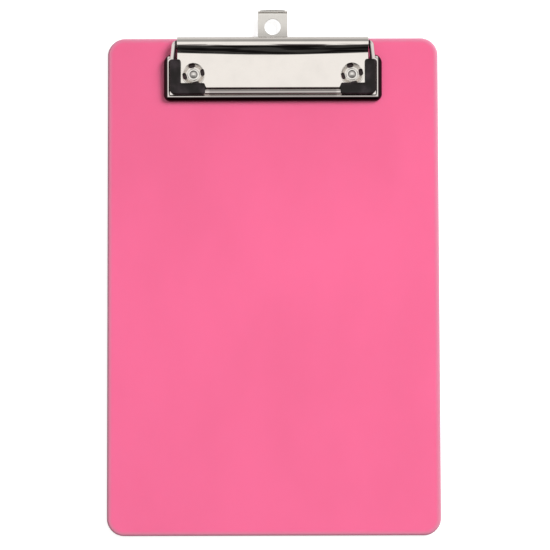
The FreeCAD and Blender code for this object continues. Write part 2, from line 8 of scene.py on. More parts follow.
import bmesh
import bpy
import numpy as np
from mathutils import Matrix, Vector
from mathutils.geometry import delaunay_2d_cdt


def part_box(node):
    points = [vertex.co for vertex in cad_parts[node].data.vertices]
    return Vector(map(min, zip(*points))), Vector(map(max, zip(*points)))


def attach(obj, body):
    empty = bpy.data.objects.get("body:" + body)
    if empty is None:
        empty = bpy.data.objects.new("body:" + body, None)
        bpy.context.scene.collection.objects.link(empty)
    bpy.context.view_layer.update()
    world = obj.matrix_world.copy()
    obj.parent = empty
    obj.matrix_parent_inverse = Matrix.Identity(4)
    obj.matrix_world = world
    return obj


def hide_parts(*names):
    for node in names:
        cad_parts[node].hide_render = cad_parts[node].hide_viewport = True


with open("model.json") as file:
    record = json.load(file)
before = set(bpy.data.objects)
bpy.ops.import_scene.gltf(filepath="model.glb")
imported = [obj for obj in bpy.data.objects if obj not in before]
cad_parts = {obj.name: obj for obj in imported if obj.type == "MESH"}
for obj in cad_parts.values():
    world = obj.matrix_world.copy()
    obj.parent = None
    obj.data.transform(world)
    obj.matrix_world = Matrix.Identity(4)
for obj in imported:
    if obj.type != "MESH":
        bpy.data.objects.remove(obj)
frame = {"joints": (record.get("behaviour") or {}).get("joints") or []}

# Pieces are worked out in millimetres and scaled once, when their mesh is made.
MM = 0.001
FULL_TURN = 2.0 * math.pi
# Points on the same step of this grid, in metres, become one when a mesh is made.
MERGE = 1e-8
# The radius, in millimetres, of a corner that is left bare.
BARE = 1e-6
LOG = logging.getLogger("clipboard")

Array = np.ndarray
Point = tuple[float, float]
Colour = tuple[float, float, float]
Form = Callable[[Array, Array], Array]


# ---------------------------------------------------------------- shader maths

class Value:
    """A shader socket that takes part in Python arithmetic."""

    def __init__(self, shader: "Shader", socket: bpy.types.NodeSocket) -> None:
        """Remember the socket and the tree it belongs to."""
        self.shader = shader
        self.socket = socket

    def math(self, operation: str, *others: "Value | float", swapped: bool = False) -> "Value":
        """Add one Math node.

        Args:
            operation: the Math node's operation.
            others: the node's other terms.
            swapped: whether this value comes second.

        Returns:
            The node's result.
        """
        terms = [*others, self] if swapped else [self, *others]
        return self.shader.node("ShaderNodeMath", {"operation": operation}, dict(enumerate(terms)))

    def __add__(self, other: "Value | float") -> "Value":
        """Return the sum."""
        return self.math("ADD", other)

    def __sub__(self, other: "Value | float") -> "Value":
        """Return the difference."""
        return self.math("SUBTRACT", other)

    def __mul__(self, other: "Value | float") -> "Value":
        """Return the product."""
        return self.math("MULTIPLY", other)

    def __radd__(self, other: float) -> "Value":
        """Return the sum with a number first."""
        return self.math("ADD", other, swapped=True)

    def __rsub__(self, other: float) -> "Value":
        """Return a number less this value."""
        return self.math("SUBTRACT", other, swapped=True)

    def __rmul__(self, other: float) -> "Value":
        """Return the product with a number first."""
        return self.math("MULTIPLY", other, swapped=True)

    def __neg__(self) -> "Value":
        """Return the value turned negative."""
        return self.math("MULTIPLY", -1.0)

    def rise(self, low: float, high: float) -> "Value":
        """Return a smooth rise from 0 at low to 1 at high."""
        inputs = {"Value": self, "From Min": low, "From Max": high}
        return self.shader.node("ShaderNodeMapRange", {"interpolation_type": "SMOOTHSTEP"}, inputs)


class Shader:
    """A node tree under construction."""

    def __init__(self, tree: bpy.types.NodeTree) -> None:
        """Start from an empty tree."""
        self.tree = tree
        tree.nodes.clear()

    def node(self, kind: str, settings: dict, inputs: dict, output: int | str = 0) -> Value:
        """Add any node.

        Args:
            kind: the node's type.
            settings: the node's own settings, set before its sockets.
            inputs: a value, a number or a colour for each socket, by name or place.
            output: which output to hand back, by name or place.

        Returns:
            The chosen output, or the node's first input socket when it has no output.
        """
        made = self.tree.nodes.new(kind)
        for name, value in settings.items():
            setattr(made, name, value)
        for key, value in inputs.items():
            if isinstance(value, Value):
                self.tree.links.new(value.socket, made.inputs[key])
            else:
                made.inputs[key].default_value = value
        sockets = made.outputs if len(made.outputs) else made.inputs
        return Value(self, sockets[output])

    def object_point(self) -> Value:
        """Return the place on the piece, in metres."""
        return self.node("ShaderNodeTexCoord", {}, {}, "Object")

    def part(self, vector: Value, axis: str) -> Value:
        """Return one part of a vector."""
        return self.node("ShaderNodeSeparateXYZ", {}, {"Vector": vector}, axis)

    def attribute(self, name: str) -> Value:
        """Return a number that the piece's mesh carries."""
        return self.node("ShaderNodeAttribute", {"attribute_name": name}, {}, "Fac")

    def ray(self, kind: str) -> Value:
        """Return 1 where the light path is of a kind, such as Is Camera Ray."""
        return self.node("ShaderNodeLightPath", {}, {}, kind)

    def stretched(self, point: Value, scale: tuple[float, float, float]) -> Value:
        """Return a place scaled along each axis."""
        return self.node("ShaderNodeMapping", {}, {"Vector": point, "Scale": scale})

    def noise(self, point: Value, scale: float, detail: float = 2.0) -> Value:
        """Return soft noise about one half, with scale patches to the metre."""
        return self.node("ShaderNodeTexNoise", {}, {"Vector": point, "Scale": scale, "Detail": detail}, "Fac")

    def mix(self, share: Value, first: "Value | tuple", second: "Value | tuple") -> Value:
        """Return a colour that goes from the first to the second as share goes from 0 to 1."""
        settings = {"data_type": "RGBA", "clamp_factor": True}
        return self.node("ShaderNodeMix", settings, {"Factor": share, 6: first, 7: second}, 2)

    def bump(self, height: Value, depth: float) -> Value:
        """Return the normal of a surface raised by height times depth, in metres."""
        return self.node("ShaderNodeBump", {}, {"Height": height, "Strength": 1.0, "Distance": depth})


def linear(colour: Colour) -> tuple[float, float, float, float]:
    """Turn an sRGB colour into a linear one: the curve is a straight foot and then a power of 2.4.

    Args:
        colour: red, green and blue, each 0 to 1.

    Returns:
        The linear colour, with an alpha of 1.
    """
    parts = np.array(colour)
    curved = np.where(parts <= 0.04045, parts / 12.92, ((parts + 0.055) / 1.055) ** 2.4)
    return (*curved.tolist(), 1.0)


# ---------------------------------------------------------------- finishes

def skin(name: str, surface: Callable[[Shader], dict]) -> bpy.types.Material:
    """Make a material with one Principled shader.

    Args:
        name: the material's name.
        surface: works out the shader's sockets in a fresh tree.

    Returns:
        The material.
    """
    made = bpy.data.materials.new(name)
    made.use_nodes = True
    shader = Shader(made.node_tree)
    covered = shader.node("ShaderNodeBsdfPrincipled", {}, surface(shader))
    shader.node("ShaderNodeOutputMaterial", {}, {"Surface": covered})
    return made


class Finish:
    """A surface finish that becomes a material under its own name."""

    name: str

    def surface(self, shader: Shader) -> dict:
        """Work out the Principled shader's sockets, each finish in its own way."""
        raise NotImplementedError

    def material(self) -> bpy.types.Material:
        """Return the finish's material."""
        return skin(self.name, self.surface)


class Grain(Enum):
    """How a metal's fine lines run: the stretch of their noise along X, Y and Z."""

    POLISHED = (0.05, 1.0, 1.0)
    BRUSHED = (1.0, 0.04, 1.0)
    CLINCHED = (1.0, 1.0, 1.0)


@dataclass(frozen=True)
class Nickel(Finish):
    """Nickel plate on steel: bright with faint drawing lines, satin, or made matt by a rivet set.

    Scales are patches to the metre, depths are in metres, and a range is the stretch of a noise over which
    the finish changes. Spread is how much the lines change the roughness, and drawn is how much rougher
    stretched metal is.
    """

    name: str
    colour: Colour
    roughness: float
    spread: float
    grain: Grain
    line_scale: float = 2600.0
    line_depth: float = 4e-7
    wave_scale: float = 45.0
    wave_depth: float = 0.0
    drift_scale: float = 90.0
    drift_range: Point = (0.35, 0.75)
    stain: float = 0.975
    drawn: float = 0.22
    # Painted reflection: streaks of the painted shade colour along the grain, where a piece asks for them.
    streak: float = 0.85
    streak_scale: float = 1100.0
    streak_range: Point = (0.42, 0.60)
    # Painted shade: a dark pink that stands in for shade and for reflections of the shaded pink board.
    painted_shade: Colour = (0.17, 0.09, 0.11)

    def surface(self, shader: Shader) -> dict:
        """Work out the metal: roughness and a shallow bump follow the lines, and the colour drifts a little.

        The attribute named dark mixes in the painted shade colour, a dark pink that stands in for shade and
        for reflections of the shaded board; the ramp's streak attribute does so in streaks along the grain,
        as painted reflection; and the one named drawn roughens stretched metal.

        Args:
            shader: the tree to add nodes to.

        Returns:
            The Principled shader's sockets.
        """
        point = shader.object_point()
        along_grain = shader.stretched(point, self.grain.value)
        lines = shader.noise(along_grain, self.line_scale, detail=3.0)
        drift = shader.noise(point, self.drift_scale).rise(*self.drift_range)
        stained = tuple(part * self.stain for part in self.colour)
        plated = shader.mix(drift, linear(self.colour), linear(stained))
        streaks = shader.noise(along_grain, self.streak_scale, detail=1.0).rise(*self.streak_range)
        # How much painted shade and painted reflection to mix in.
        painted_dark_share = shader.attribute("dark") + shader.attribute("painted_streaks") * streaks * self.streak
        waves = shader.noise(point, self.wave_scale, detail=0.0)
        roughened = shader.attribute("drawn") * self.drawn
        return {
            "Base Color": shader.mix(painted_dark_share, plated, linear(self.painted_shade)),
            "Metallic": 1.0,
            "Roughness": self.roughness + (lines - 0.5) * self.spread + roughened,
            "Normal": shader.bump(lines * self.line_depth + waves * self.wave_depth, 1.0),
        }


@dataclass(frozen=True)
class BoardPlastic(Finish):
    """Translucent pink moulded plastic: clouded and faintly pebbled, with painted shade: greyer at its rim,
    darker towards the clip, and dark under the clip.

    The cover values and the clip shade range, in metres, are places on the board, and the pebble is the
    bump's depth. Cloudiness is the clouds' share of the colour's depth, and the painted shade towards the
    clip has the rest; spread is how much the grain changes the roughness.
    """

    name: str = "pink_plastic"
    colour: Colour = (0.885, 0.375, 0.545)
    # This colour is both the clouds' colour and the painted shade that deepens towards the clip.
    cloud_and_shade: Colour = (0.81, 0.335, 0.485)
    # Painted shade: the rim's colour stands in for the shading on the rounded edge, and the shaded colour for
    # the clip's shadow.
    rim: Colour = (0.75, 0.47, 0.56)
    shaded: Colour = (0.20, 0.06, 0.09)
    cover_half: float = 0.0445
    cover_front: float = 0.0895
    cover_fade: float = 0.001
    cloud_scale: float = 22.0
    cloud_stretch: tuple[float, float, float] = (1.0, 0.6, 1.0)
    cloud_range: Point = (0.3, 0.75)
    cloudiness: float = 0.35
    # Painted shade: the board darkens over this range of places towards the clip.
    clip_shade_range: Point = (0.0, 0.13)
    roughness: float = 0.30
    grain_scale: float = 1500.0
    spread: float = 0.08
    pebble: float = 1.5e-6

    def surface(self, shader: Shader) -> dict:
        """Work out the plastic: clouds, painted shade that deepens towards the clip, painted shade under it,
        and the rim's painted shade.

        Args:
            shader: the tree to add nodes to.

        Returns:
            The Principled shader's sockets.
        """
        point = shader.object_point()
        along = shader.part(point, "Y")
        across = shader.part(point, "X").math("ABSOLUTE")
        clouds = shader.noise(shader.stretched(point, self.cloud_stretch), self.cloud_scale, detail=4.0)
        towards_clip = along.rise(*self.clip_shade_range) * (1.0 - self.cloudiness)
        depth = clouds.rise(*self.cloud_range) * self.cloudiness + towards_clip
        clouded_and_shaded = shader.mix(depth, linear(self.colour), linear(self.cloud_and_shade))
        beside = across.rise(self.cover_half - self.cover_fade, self.cover_half)
        behind = along.rise(self.cover_front, self.cover_front + self.cover_fade)
        shaded_under_clip = shader.mix((1.0 - beside) * behind, clouded_and_shaded, linear(self.shaded))
        grain = shader.noise(point, self.grain_scale)
        return {
            "Base Color": shader.mix(shader.attribute("rim"), shaded_under_clip, linear(self.rim)),
            "Roughness": self.roughness + (grain - 0.5) * self.spread,
            "IOR": 1.49,
            "Subsurface Weight": 0.12,
            "Subsurface Radius": (0.006, 0.002, 0.003),
            "Subsurface Scale": 1.0,
            "Normal": shader.bump(grain, self.pebble),
        }


@dataclass(frozen=True)
class GripPlastic(Finish):
    """Soft black moulded plastic: fine texture from the mould, rubbed smoother and paler in patches."""

    name: str = "black_grip"
    colour: Colour = (0.05, 0.03, 0.03)
    rubbed: Colour = (0.17, 0.14, 0.155)
    roughness: float = 0.40
    grain_scale: float = 2400.0
    spread: float = 0.15
    texture: float = 2.5e-6
    patch_scale: float = 160.0
    patch_range: Point = (0.4, 0.7)
    smoother: float = 0.05

    def surface(self, shader: Shader) -> dict:
        """Work out the plastic: a fine grain, and patches that are smoother and paler.

        Args:
            shader: the tree to add nodes to.

        Returns:
            The Principled shader's sockets.
        """
        point = shader.object_point()
        grain = shader.noise(point, self.grain_scale)
        worn = shader.noise(point, self.patch_scale, detail=3.0).rise(*self.patch_range)
        return {
            "Base Color": shader.mix(worn, linear(self.colour), linear(self.rubbed)),
            "Roughness": self.roughness + (grain - 0.5) * self.spread - worn * self.smoother,
            "IOR": 1.36,
            "Normal": shader.bump(grain, self.texture),
        }


# ---------------------------------------------------------------- lines and surfaces

def arc(centre: Point, radius: float, start: float, end: float, steps: int) -> Array:
    """Return points on an arc: the centre plus the radius times the cosine and sine of evenly spaced angles.

    Args:
        centre: the arc's centre.
        radius: the arc's radius.
        start: the first angle, in degrees.
        end: the last angle, in degrees.
        steps: how many spans the arc has.

    Returns:
        An array of steps + 1 points.
    """
    turn = np.radians(np.linspace(start, end, steps + 1))
    return np.stack([centre[0] + radius * np.cos(turn), centre[1] + radius * np.sin(turn)], axis=-1)


def left_of(direction: Array) -> Array:
    """Return directions turned a quarter turn to the left: (x, y) becomes (-y, x)."""
    return np.stack([-direction[..., 1], direction[..., 0]], axis=-1)


def line_sides(line: Array) -> Array:
    """Return the left side of an open line at each point, from the span before and the span after."""
    along = np.gradient(line, axis=0)
    return left_of(along / np.linalg.norm(along, axis=-1, keepdims=True))


@dataclass(frozen=True)
class Loop:
    """A closed line in a flat plane with the material on its left, and its wall.

    The wall is a list of (inset, depth) steps from the upper face to the lower one. Inset runs into the
    material from the line, and depth runs down from the upper face.
    """

    points: Array
    inward: Array
    wall: Array

    def inset(self, distance: float) -> Array:
        """Return the line moved into the material."""
        return self.points + self.inward * distance


def round_wall(thickness: float, edge: float, flat: float, steps: int = 4) -> Array:
    """Return a wall with two quarter circles, the straight between them, and a flat on each face.

    Args:
        thickness: the distance between the faces.
        edge: the quarter circles' radius.
        flat: how far in from the line the flats end.
        steps: how many spans a quarter circle has.

    Returns:
        The wall's steps.
    """
    upper = arc((edge, edge), edge, -90.0, -180.0, steps)
    lower = arc((edge, thickness - edge), edge, 180.0, 90.0, steps)
    return np.concatenate([[(flat, 0.0)], upper, lower, [(flat, thickness)]])


def polygon(corners: Sequence[Point], radii: Sequence[float], spacing: float, wall: Array,
            bend_steps: int = 8) -> Loop:
    """Return a polygon whose corners are arcs.

    Each corner's arc starts where the two sides are tangent to it: the radius times the tangent of half the
    turn before the corner. Its points lie a radius from its centre, against the inward direction, which
    turns evenly from one side's left to the next side's left.

    Args:
        corners: the corners, with the material on the left going round.
        radii: each corner's radius.
        spacing: the longest span on a straight side.
        wall: the loop's wall.
        bend_steps: how many spans each arc has.

    Returns:
        The loop.
    """
    here = np.array(corners, float)
    before, after = here - np.roll(here, 1, axis=0), np.roll(here, -1, axis=0) - here
    entering = before / np.linalg.norm(before, axis=1, keepdims=True)
    leaving = after / np.linalg.norm(after, axis=1, keepdims=True)
    turn = np.arctan2(entering[:, 0] * leaving[:, 1] - entering[:, 1] * leaving[:, 0],
                      (entering * leaving).sum(axis=1))
    reach = np.array(radii) * np.tan(np.abs(turn) / 2)
    points, inward = [], []
    for i, radius in enumerate(radii):
        start = here[i] - entering[i] * reach[i]
        side = np.sign(turn[i])
        centre = start + side * radius * left_of(entering[i])
        first = math.atan2(*left_of(entering[i])[::-1])
        angles = first + turn[i] * np.linspace(0.0, 1.0, bend_steps + 1)
        lefts = np.stack([np.cos(angles), np.sin(angles)], axis=-1)
        bend = centre - side * radius * lefts
        following = (i + 1) % len(here)
        target = here[following] - entering[following] * reach[following]
        count = max(int(np.linalg.norm(target - bend[-1]) / spacing), 1)
        share = np.linspace(0.0, 1.0, count + 1)[1:-1, None]
        points += [bend, bend[-1] + (target - bend[-1]) * share]
        inward += [lefts, np.repeat(lefts[-1:], len(share), axis=0)]
    return Loop(np.concatenate(points), np.concatenate(inward), wall)


def round_hole(centre: Point, radius: float, wall: Array, count: int = 64) -> Loop:
    """Make a round hole: clockwise, so that the material is on the left and inward points away from it.

    Args:
        centre: its centre.
        radius: its radius.
        wall: its wall.
        count: how many points it has.

    Returns:
        The hole's loop.
    """
    turn = -np.arange(count) * FULL_TURN / count
    away = np.stack([np.cos(turn), np.sin(turn)], axis=-1)
    return Loop(np.array(centre) + away * radius, away, wall)


def inside(points: Array, ring: Array) -> Array:
    """Say which points lie inside a ring: a level ray to the right crosses the ring an odd number of times.

    Args:
        points: the points.
        ring: the ring's points, in order.

    Returns:
        True or False for each point.
    """
    x, y = points[:, None, 0], points[:, None, 1]
    start, end = ring[None], np.roll(ring, -1, axis=0)[None]
    straddles = (start[..., 1] > y) != (end[..., 1] > y)
    rise = np.where(straddles, end[..., 1] - start[..., 1], 1.0)
    crossing = start[..., 0] + (y - start[..., 1]) * (end[..., 0] - start[..., 0]) / rise
    return (straddles & (crossing > x)).sum(axis=1) % 2 == 1


def clear_of(points: Array, ring: Array, margin: float) -> Array:
    """Say which points lie further than a margin from every point of a ring."""
    apart = points[:, None] - ring[None]
    return (apart ** 2).sum(axis=-1).min(axis=1) > margin ** 2


def region(rings: list[Array], extra: Array) -> Array:
    """Return triangles over the first ring, less the other rings.

    Args:
        rings: the outer line, then the holes.
        extra: points in the region that the triangles also meet.

    Returns:
        Triangles as indices into all the rings' points and then the extra points, counter-clockwise.
    """
    points = np.concatenate([*rings, extra])
    ends = np.cumsum([0, *map(len, rings)])
    edges = np.concatenate([np.stack([np.arange(a, b), np.r_[a + 1:b, a]], axis=-1)
                            for a, b in zip(ends, ends[1:])])
    flat = [Vector(point) for point in points.tolist()]
    inside_edges, nearness = 1, 1e-7
    _, _, faces, sources, _, _ = delaunay_2d_cdt(flat, edges.tolist(), [], inside_edges, nearness)
    origin = np.array([source[0] for source in sources])
    triangles = origin[np.array(faces)]
    centres = points[triangles].mean(axis=1)
    keep = inside(centres, rings[0])
    for hole in rings[1:]:
        keep &= ~inside(centres, hole)
    triangles = triangles[keep]
    a, b, c = (points[triangles[:, i]] for i in range(3))
    area = (b[:, 0] - a[:, 0]) * (c[:, 1] - a[:, 1]) - (b[:, 1] - a[:, 1]) * (c[:, 0] - a[:, 0])
    triangles[area < 0] = triangles[area < 0][:, ::-1]
    return triangles


def tube_faces(rows: int, columns: int) -> Array:
    """Return the four-sided faces of a tube, which is a grid of points whose rows are closed rings.

    A face's corners are a point, the same place in the next row, the next place in that row, and the next
    place in its own row.

    Args:
        rows: how many rings there are.
        columns: how many points a ring has.

    Returns:
        An array of faces by 4.
    """
    row, column = np.arange(rows - 1)[:, None] * columns, np.arange(columns)[None]
    following = (column + 1) % columns
    corners = (row + column, row + columns + column, row + columns + following, row + following)
    return np.stack(corners, axis=-1).reshape(-1, 4)


@dataclass
class Solid:
    """Points and faces of one piece, gathered from its surfaces."""

    points: list[Array] = field(default_factory=list)
    faces: list[list[int]] = field(default_factory=list)
    count: int = 0

    def add(self, points: Array, *faces: Array) -> int:
        """Add a surface.

        Args:
            points: its points, in millimetres.
            faces: arrays of faces that count from its first point.

        Returns:
            The place of its first point among all the points.
        """
        first = self.count
        flat = points.reshape(-1, 3)
        self.points.append(flat)
        for group in faces:
            self.faces += (np.asarray(group) + first).tolist()
        self.count += len(flat)
        return first

    def make(self, name: str, sharp_angle: float = 40.0) -> bpy.types.Object:
        """Make the mesh and its object, merging the points that its surfaces share.

        Args:
            name: the piece's name.
            sharp_angle: edges that turn by more than this many degrees stay crisp.

        Returns:
            The object, at the origin.
        """
        points = np.concatenate(self.points) * MM
        _, first, same = np.unique(np.round(points / MERGE).astype(np.int64), axis=0,
                                   return_index=True, return_inverse=True)
        same = same.reshape(-1)
        # A face that lies on a pole loses its repeated corners, and one with fewer than three is dropped.
        faces = [list(dict.fromkeys(same[face].tolist())) for face in self.faces]
        mesh = bpy.data.meshes.new(name)
        mesh.from_pydata(points[first].tolist(), [], [face for face in faces if len(face) > 2])
        shell = bmesh.new()
        shell.from_mesh(mesh)
        bmesh.ops.recalc_face_normals(shell, faces=shell.faces)
        shell.to_mesh(mesh)
        shell.free()
        mesh.shade_smooth()
        mesh.set_sharp_from_angle(angle=math.radians(sharp_angle))
        made = bpy.data.objects.new(name, mesh)
        bpy.context.scene.collection.objects.link(made)
        return made


def plate_solid(loops: list[Loop], extra: Array, form: Form) -> Solid:
    """Build a solid from a flat outline, its holes and a form.

    The upper face lies over the loops at their walls' first step and the lower face at their last step.
    Between them each wall is its steps carried round its loop. The form takes flat places and depths to
    places in space, so that the same outline can be a flat slab or a bent sheet.

    Args:
        loops: the outline, then the holes.
        extra: points inside for the faces to meet.
        form: the form.

    Returns:
        The closed solid.
    """
    solid = Solid()
    for step, flipped in ((0, False), (-1, True)):
        rings = [loop.inset(loop.wall[step, 0]) for loop in loops]
        depths = [np.full(len(loop.points), loop.wall[step, 1]) for loop in loops]
        triangles = region(rings, extra)
        places = np.concatenate([*rings, extra])
        deep = np.concatenate([*depths, np.full(len(extra), loops[0].wall[step, 1])])
        solid.add(form(places, deep), triangles[:, ::-1] if flipped else triangles)
    for loop in loops:
        rows = np.stack([loop.inset(inset) for inset in loop.wall[:, 0]])
        deep = np.repeat(loop.wall[:, 1], len(loop.points))
        faces = tube_faces(len(loop.wall), len(loop.points))
        solid.add(form(rows.reshape(-1, 2), deep), faces)
    return solid


def strip(middle: Array, thickness: float, steps: int = 5) -> Array:
    """Return the closed outline of a sheet seen edge on.

    Each side lies half the thickness from the line through the sheet's middle, and a half circle closes each
    end. Point i and point n - 1 - i face each other across the sheet.

    Args:
        middle: the line through the sheet's middle.
        thickness: the sheet's thickness.
        steps: how many points each quarter circle has.

    Returns:
        The outline's points.
    """
    left = line_sides(middle) * thickness / 2
    along = -left_of(left)
    turn = np.linspace(0.0, math.pi / 2, steps + 2)[1:-1, None]
    halves = []
    for side in (left, -left):
        near = middle[0] - along[0] * np.cos(turn) + side[0] * np.sin(turn)
        far = middle[-1] + along[-1] * np.sin(turn) + side[-1] * np.cos(turn)
        halves.append(np.concatenate([near, middle + side, far]))
    return np.concatenate([halves[0], halves[1][::-1]])


def carried(profile: Array, rail: Array, outward: Array) -> Array:
    """Carry a profile along a rail in a level plane.

    A point of the profile, (out, up), lands at the rail's point plus out times the rail's outward direction,
    raised by up.

    Args:
        profile: the profile's points.
        rail: the rail's points.
        outward: the outward direction at each of the rail's points.

    Returns:
        An array of rail points by profile points by 3.
    """
    level = rail[:, None] + profile[None, :, 0, None] * outward[:, None]
    up = np.broadcast_to(profile[None, :, 1, None], (*level.shape[:2], 1))
    return np.concatenate([level, up], axis=-1)


def lathe(solid: Solid, profile: Array, centre: Point, count: int = 72) -> None:
    """Turn an open profile of (radius, height) about an upright axis and close both ends at the axis.

    A point is the centre plus the radius times the cosine and sine of the turn. The profile runs from the
    top at the axis to the bottom, so that the faces point outwards.

    Args:
        solid: the solid that gets the surface.
        profile: the profile's points.
        centre: the axis's place.
        count: how many steps a full turn has.
    """
    turn = np.arange(count) * FULL_TURN / count
    radius, height = profile[:, 0, None], profile[:, 1, None]
    x, y = centre[0] + radius * np.cos(turn), centre[1] + radius * np.sin(turn)
    points = np.stack([x, y, np.broadcast_to(height, x.shape)], axis=-1)
    solid.add(points, tube_faces(len(profile), count))


def path(corners: Sequence[Point], radii: Sequence[float], spacing: float,
         bend_steps: int) -> tuple[Array, Array]:
    """Return an open path with round bends, and its left side at each point.

    It is the stretch of the closed polygon through the same corners that skips the closing side, less any
    repeated points.

    Args:
        corners: the corners, from one end to the other.
        radii: each corner's radius, which is bare at the two ends.
        spacing: the longest span on a straight side.
        bend_steps: how many spans each bend has.

    Returns:
        The path's points and their left sides.
    """
    loop = polygon(corners, radii, spacing, np.zeros((0, 2)), bend_steps)
    start = np.linalg.norm(loop.points - corners[0], axis=1).argmin()
    end = np.linalg.norm(loop.points - corners[-1], axis=1).argmin()
    line, left = loop.points[start:end + 1], loop.inward[start:end + 1]
    same_place = 1e-4
    fresh = np.r_[True, np.linalg.norm(np.diff(line, axis=0), axis=1) > same_place]
    return line[fresh], left[fresh]


def smooth(share: Array) -> Array:
    """Return a smooth step: three times the share's square less twice its cube."""
    return share * share * (3 - 2 * share)


# ---------------------------------------------------------------- bent sheets

def sheet_wall(sheet: float, edge: float) -> Array:
    """Return a stamped sheet's wall: rounded edges, and flats that end at 1.4 times their radius."""
    return round_wall(sheet, edge, 1.4 * edge)


def rows_along(stages: Array, counts: Sequence[int]) -> Array:
    """Return places along a blank that split each stage into its count of equal spans."""
    spans = zip(stages, stages[1:], counts)
    return np.concatenate([np.linspace(start, end, count, endpoint=False) for start, end, count in spans])


def stage_of(stages: Array, along: Array) -> tuple[Array, Array]:
    """Return which stage of a blank each place is in, and its share of the way through that stage."""
    stage = np.clip(np.searchsorted(stages, along, side="right") - 1, 0, len(stages) - 2)
    return stage, (along - stages[stage]) / np.diff(stages)[stage]


def trimmed(grid: Array, outline: Loop, holes: list[Loop], edge: float, margin: float) -> Array:
    """Drop the points of a grid that lie outside the outline, in a hole, or too close to either.

    Args:
        grid: the points.
        outline: the blank's outline.
        holes: the blank's holes.
        edge: how far in from the loops the faces' rounded edges end.
        margin: how far from there a point has to stay.

    Returns:
        The points that are left.
    """
    kept = grid[inside(grid, outline.points)]
    for hole in holes:
        kept = kept[~inside(kept, hole.inset(edge))]
    for loop in (outline, *holes):
        kept = kept[clear_of(kept, loop.inset(edge), margin)]
    return kept


# ---------------------------------------------------------------- places in the frame

@dataclass(frozen=True)
class Places:
    """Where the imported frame's pieces are, in millimetres."""

    board: Array
    plate: Array
    wire: Array
    left_rivet: Array
    hanger: Array
    axis: Array

    @staticmethod
    def read() -> "Places":
        """Read the nodes' boxes and the bail's hinge.

        Returns:
            The places.
        """
        boxes = {name: np.array(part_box(name)) / MM
                 for name in ("board", "clip_plate", "wire_bail", "left_rivet", "hanger")}
        hinge = next(joint for joint in frame["joints"] if joint["name"] == "bail_hinge")
        return Places(boxes["board"], boxes["clip_plate"], boxes["wire_bail"], boxes["left_rivet"],
                      boxes["hanger"], np.array(hinge["pos_m"]) / MM)

    @property
    def board_top(self) -> float:
        """The writing face's height."""
        return float(self.board[1, 2])

    @property
    def rivet(self) -> Point:
        """The right rivet's axis."""
        x, y, _ = self.left_rivet.mean(axis=0)
        return float(-x), float(y)


def dress(piece: bpy.types.Object, body: str, node: str, material: bpy.types.Material) -> None:
    """Finish a piece and report it.

    Args:
        piece: the piece.
        body: the body it rides on.
        node: the node it stands for.
        material: its material.
    """
    piece.data.materials.append(material)
    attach(piece, body)
    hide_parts(node)
    LOG.info("%s: %d points, %d faces", piece.name, len(piece.data.vertices), len(piece.data.polygons))


def places_of(piece: bpy.types.Object) -> Array:
    """Read a piece's points.

    Args:
        piece: the piece.

    Returns:
        Its points, in millimetres.
    """
    points = np.zeros(len(piece.data.vertices) * 3)
    piece.data.vertices.foreach_get("co", points)
    return points.reshape(-1, 3) / MM


def mark(piece: bpy.types.Object, name: str, share: Array) -> None:
    """Write an attribute on a piece's points that rises smoothly from 0 to 1 as a share does."""
    made = piece.data.attributes.new(name, "FLOAT", "POINT")
    made.data.foreach_set("value", smooth(share).astype(np.float32))


# ---------------------------------------------------------------- sub-assemblies

@dataclass
class Board:
    """Moulded board with full-round rims, rivet holes, and recesses in its back for the rivets' tails."""

    places: Places
    corner: float = 8.0
    rim: float = 1.25
    band: float = 2.4
    rim_full: float = 0.4
    hole: float = 1.9
    recess: float = 3.8
    recess_depth: float = 0.9
    recess_lead: float = 0.25
    finish: BoardPlastic = BoardPlastic()

    def rivet_wall(self, thickness: float) -> Array:
        """Work out a rivet hole's wall: straight down, out along the recess's floor, and down to the back.

        Args:
            thickness: the board's thickness.

        Returns:
            The wall's steps.
        """
        step, lead = self.recess - self.hole, self.recess_lead
        floor = thickness - self.recess_depth
        return np.array([(0.0, 0.0), (0.0, floor), (step, floor), (step, thickness - lead),
                         (step + lead, thickness)])

    def build(self) -> None:
        """Make the board: a rounded rectangle with its rim's half circle carried round it."""
        low, high = self.places.board
        thickness = high[2] - low[2]
        span, pitch, margin = 8.0, 12.0, 5.0
        rim_steps, corner_steps = 8, 16
        corners = [(low[0], low[1]), (high[0], low[1]), (high[0], high[1]), (low[0], high[1])]
        wall = round_wall(thickness, self.rim, self.band, rim_steps)
        outline = polygon(corners, [self.corner] * 4, span, wall, corner_steps)
        x, y = self.places.rivet
        holes = [round_hole((side * x, y), self.hole, self.rivet_wall(thickness)) for side in (-1, 1)]
        across, along = (np.arange(low[i] + span, high[i] - span / 2, pitch) for i in (0, 1))
        grid = np.stack(np.meshgrid(across, along), axis=-1).reshape(-1, 2)
        for hole in holes:
            grid = grid[clear_of(grid, hole.points, margin)]

        def slab(flat: Array, depth: Array) -> Array:
            """Return places on the slab: depth below the writing face."""
            return np.column_stack([flat, high[2] - depth])

        piece = plate_solid([outline, *holes], grid, slab).make("moulded_board")
        self.mark_rim(piece, low, high)
        dress(piece, "clipboard", "board", self.finish.material())

    def mark_rim(self, piece: bpy.types.Object, low: Array, high: Array) -> None:
        """Write the attribute named rim, which places the rim's painted shade: 0 inside the band round the
        outline, rising to 1 near the outline.

        How far in a point is comes from the rounded rectangle's own formula: the corner's radius less the
        distance from the corners' centres outwards, or less the greater of the two distances inwards.

        Args:
            piece: the board.
            low: its box's low corner.
            high: its box's high corner.
        """
        x, y, _ = places_of(piece).T
        middle, reach = (low + high) / 2, (high - low) / 2 - self.corner
        beyond = np.abs(np.stack([x - middle[0], y - middle[1]])) - reach[:2, None]
        inset = self.corner - np.hypot(*np.maximum(beyond, 0.0)) - np.minimum(beyond.max(axis=0), 0.0)
        mark(piece, "rim", np.clip((self.band - inset) / (self.band - self.rim_full), 0.0, 1.0))


